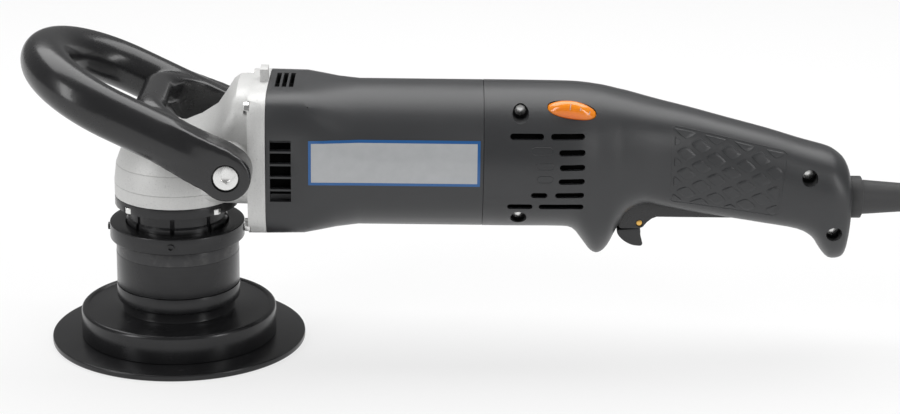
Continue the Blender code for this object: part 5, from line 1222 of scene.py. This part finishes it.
for number in range(NUMBER_COUNT):
    bpy.ops.object.text_add()
    text = bpy.context.object
    text.name = f"dial_number_{number + 1}"
    text.data.body = str(number + 1)
    text.data.align_x = "CENTER"
    text.data.align_y = "CENTER"
    text.data.size = NUMBER_H
    text.data.extrude = NUMBER_PROUD
    text.data.resolution_u = 3
    alone(text)
    bpy.ops.object.convert(target="MESH")
    figure = bpy.context.object
    thin_slices(figure)
    on_rim(figure, NUMBER_STEP * number)
    marks = [figure]
    for third in (1, 2):
        mark = box_cutter("mark", MARK_LOW, MARK_HIGH)
        thin_slices(mark)
        marks.append(on_rim(mark, NUMBER_STEP * (number + third / 3)))
    dress(rounded(joined(marks)), "speed_dial", "number_paint", False)
print("numbers on the dial:", NUMBER_COUNT)

# %% Nameplate
LABEL_COLUMNS = 34
LABEL_ROWS = 10
LABEL_LIFT = 0.0002
LABEL_T = 0.0004
plate_grid = bmesh.new()
spots = []
for i in range(LABEL_COLUMNS + 1):
    x = LABEL_LOW[0] + (LABEL_HIGH[0] - LABEL_LOW[0]) * i / LABEL_COLUMNS
    column = []
    for j in range(LABEL_ROWS + 1):
        z = LABEL_LOW[1] + (LABEL_HIGH[1] - LABEL_LOW[1]) * j / LABEL_ROWS
        column.append(plate_grid.verts.new(laid(skins["motor_housing"], -1.0, (x, z), LABEL_LIFT)))
    spots.append(column)
for i in range(LABEL_COLUMNS):
    for j in range(LABEL_ROWS):
        plate_grid.faces.new((spots[i][j], spots[i + 1][j], spots[i + 1][j + 1], spots[i][j + 1]))
label = built("nameplate", plate_grid)
alone(label)
thick = label.modifiers.new("thick", "SOLIDIFY")
thick.thickness = LABEL_T
thick.offset = -1.0
bpy.ops.object.modifier_apply(modifier="thick")
dress(rounded(label), "motor_housing", "nameplate", False)
print("nameplate faces:", len(label.data.polygons))

# %% [markdown]
# ## Cord
# A rubber cord of 9 mm leaves the boot, bends down to the floor and lies in a coil of
# four layers, as it is put away after work. Its route is a list of chosen points, a
# spiral worked out turn by turn, and a short tail to the plug. One open curve follows
# it with a round bevel, so its real length can be measured along its middle line.

# %% Cord route
CORD_D = 0.009
CORD_FINENESS = 4
CORD_ROUTE = (
    (0.4705, 0.0, 0.0950),
    (0.482, 0.0, 0.0948),
    (0.495, 0.0, 0.0925),
    (0.509, 0.0, 0.0864),
    (0.524, 0.0, 0.0760),
    (0.540, 0.0, 0.0621),
    (0.556, 0.0, 0.0470),
    (0.572, 0.0, 0.0328),
    (0.588, 0.0, 0.0212),
    (0.604, 0.0, 0.0127),
    (0.621, 0.0, 0.0078),
    (0.636, 0.0, 0.0061),
)
TAIL_ROUTE = (
    (0.643, 0.1356, 0.0348),
    (0.635, 0.1356, 0.0334),
    (0.6275, 0.1356, 0.0302),
    (0.620, 0.1356, 0.0262),
    (0.6125, 0.1356, 0.0223),
    (0.605, 0.1356, 0.0196),
    (0.598, 0.1356, 0.0186),
    (0.591, 0.1356, 0.0185),
)
COIL_TURNS = 11.5
COIL_LAYERS = 4
COIL_STEP = 0.0096
COIL_MIDDLE_R = 0.054
COIL_X = 0.660
COIL_Z = 0.0061
TURN_POINTS = 48
COIL_OUTER = COIL_MIDDLE_R + COIL_STEP * COIL_TURNS / COIL_LAYERS / 2


def coil_place(turns):
    """The middle of the cord after so many turns of the coil."""
    layer_turns = COIL_TURNS / COIL_LAYERS
    sweep = COIL_STEP * layer_turns
    layer = min(int(turns / layer_turns), COIL_LAYERS - 1)
    along = turns / layer_turns - layer
    inward = along if layer % 2 == 0 else 1 - along
    radius = COIL_MIDDLE_R + sweep / 2 - sweep * inward
    height = COIL_Z
    for reversal in range(1, COIL_LAYERS):
        climb = min(max((turns - reversal * layer_turns) * 2 + 0.5, 0.0), 1.0)
        height += COIL_STEP * climb * climb * (3 - climb * 2)
    angle = tau * turns - pi / 2
    across = COIL_OUTER + radius * sin(angle)
    return Vector((COIL_X + radius * cos(angle), across, height))


turn_count = round(COIL_TURNS * TURN_POINTS)
spiral = [coil_place(COIL_TURNS * i / turn_count) for i in range(turn_count + 1)]
BEFORE_COIL = Vector((CORD_D, 0.0, 0.0))
lead = smooth([*CORD_ROUTE, spiral[0] - BEFORE_COIL, spiral[0]])
tail = smooth([spiral[-1], spiral[-1] - BEFORE_COIL, *TAIL_ROUTE])
route = lead + spiral[1:] + tail[1:]
cord_length = sum((b - a).length for a, b in zip(route, route[1:]))
print("points of the cord:", len(route))

# %% Cord curve
line = tube_curve("mains_cord", route, CORD_D / 2, CORD_FINENESS)
line.splines[0].use_smooth = True
mains_cord = placed("mains_cord", line)
line.materials.append(FINISHES["black_rubber"])
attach(mains_cord, BODY_OF["cord_lead"])
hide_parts("cord_lead", "cord_coil", "cord_tail")
print("cord length, in m:", round(cord_length, 3))

# %% [markdown]
# ## Stage and light
# The floor is plain and pale. Seen by the camera it is nearly white, as a lit studio
# sweep is, and it keeps a soft shadow of the machine. Mirror-like surfaces see the
# same white, while the lamps alone decide how bright the machine itself is.
# One wide lamp hangs above, and one stands at each side for the long soft highlights.

# %% Floor
FLOOR_HALF = 6.0
FLOOR_AT = (0.2, 0.0, -0.0004)
PAPER_GREY = 0.86
PAPER_GLOW = 0.72
WHITE = (1.0, 1.0, 1.0, 1.0)


def added(tree, *kinds):
    return [tree.nodes.new("ShaderNode" + kind) for kind in kinds]


def wired(tree, *links):
    """Joins nodes by links, each from an output to an input."""
    for node, output, other, socket in links:
        tree.links.new(node.outputs[output], other.inputs[socket])


bpy.ops.mesh.primitive_plane_add(size=FLOOR_HALF * 2, location=FLOOR_AT)
floor = bpy.context.object
floor.name = "floor"
settled(floor)
paper = bpy.data.materials.new("studio_floor")
paper.use_nodes = True
tree = paper.node_tree
tree.nodes.clear()
seen, white, matt, mixed, out = added(
    tree, "LightPath", "Emission", "BsdfDiffuse", "MixShader", "OutputMaterial"
)
either, most, share = added(tree, "Math", "Math", "Math")
white.inputs["Color"].default_value = WHITE
matt.inputs["Color"].default_value = (PAPER_GREY, PAPER_GREY, PAPER_GREY, 1.0)
either.operation = "MAXIMUM"
most.operation = "MAXIMUM"
share.operation = "MULTIPLY"
share.inputs[1].default_value = PAPER_GLOW
wired(
    tree,
    (seen, "Is Camera Ray", either, 0),
    (seen, "Is Glossy Ray", either, 1),
    (either, 0, most, 0),
    (seen, "Is Transmission Ray", most, 1),
    (most, 0, share, 0),
    (share, 0, mixed, 0),
    (matt, 0, mixed, 1),
    (white, 0, mixed, 2),
    (mixed, 0, out, "Surface"),
)
floor.data.materials.append(paper)
print("the floor is", FLOOR_HALF * 2, "m wide")

# %% Background
SKY = 0.24
world = bpy.data.worlds.new("studio")
bpy.context.scene.world = world
world.use_nodes = True
tree = world.node_tree
sky = tree.nodes["Background"]
sky.inputs["Color"].default_value = WHITE
seen, either, lift = added(tree, "LightPath", "Math", "Math")
either.operation = "MAXIMUM"
lift.operation = "MULTIPLY_ADD"
lift.inputs[1].default_value = 1.0 - SKY
lift.inputs[2].default_value = SKY
wired(
    tree,
    (seen, "Is Camera Ray", either, 0),
    (seen, "Is Transmission Ray", either, 1),
    (either, 0, lift, 0),
    (lift, 0, sky, "Strength"),
)

# %% Lamps
def lamp(name, place, target, width, height, watts):
    light = bpy.data.lights.new(name, "AREA")
    light.shape = "RECTANGLE"
    light.size = width
    light.size_y = height
    light.energy = watts
    stand = bpy.data.objects.new(name, light)
    turn = (Vector(target) - Vector(place)).to_track_quat("-Z", "Y")
    stand.matrix_world = Matrix.Translation(place) @ turn.to_matrix().to_4x4()
    bpy.context.scene.collection.objects.link(stand)


MIDDLE = (0.2, 0.0, 0.1)
lamp("lamp_above", (0.2, 0.5, 1.3), MIDDLE, 2.2, 1.1, 24.0)
lamp("lamp_left", (-1.2, -0.9, 0.8), MIDDLE, 0.4, 1.2, 9.0)
lamp("lamp_right", (1.5, -1.1, 0.7), MIDDLE, 0.4, 1.2, 9.0)
bpy.context.scene.view_settings.view_transform = "Standard"
print("lamps:", len(bpy.data.lights))
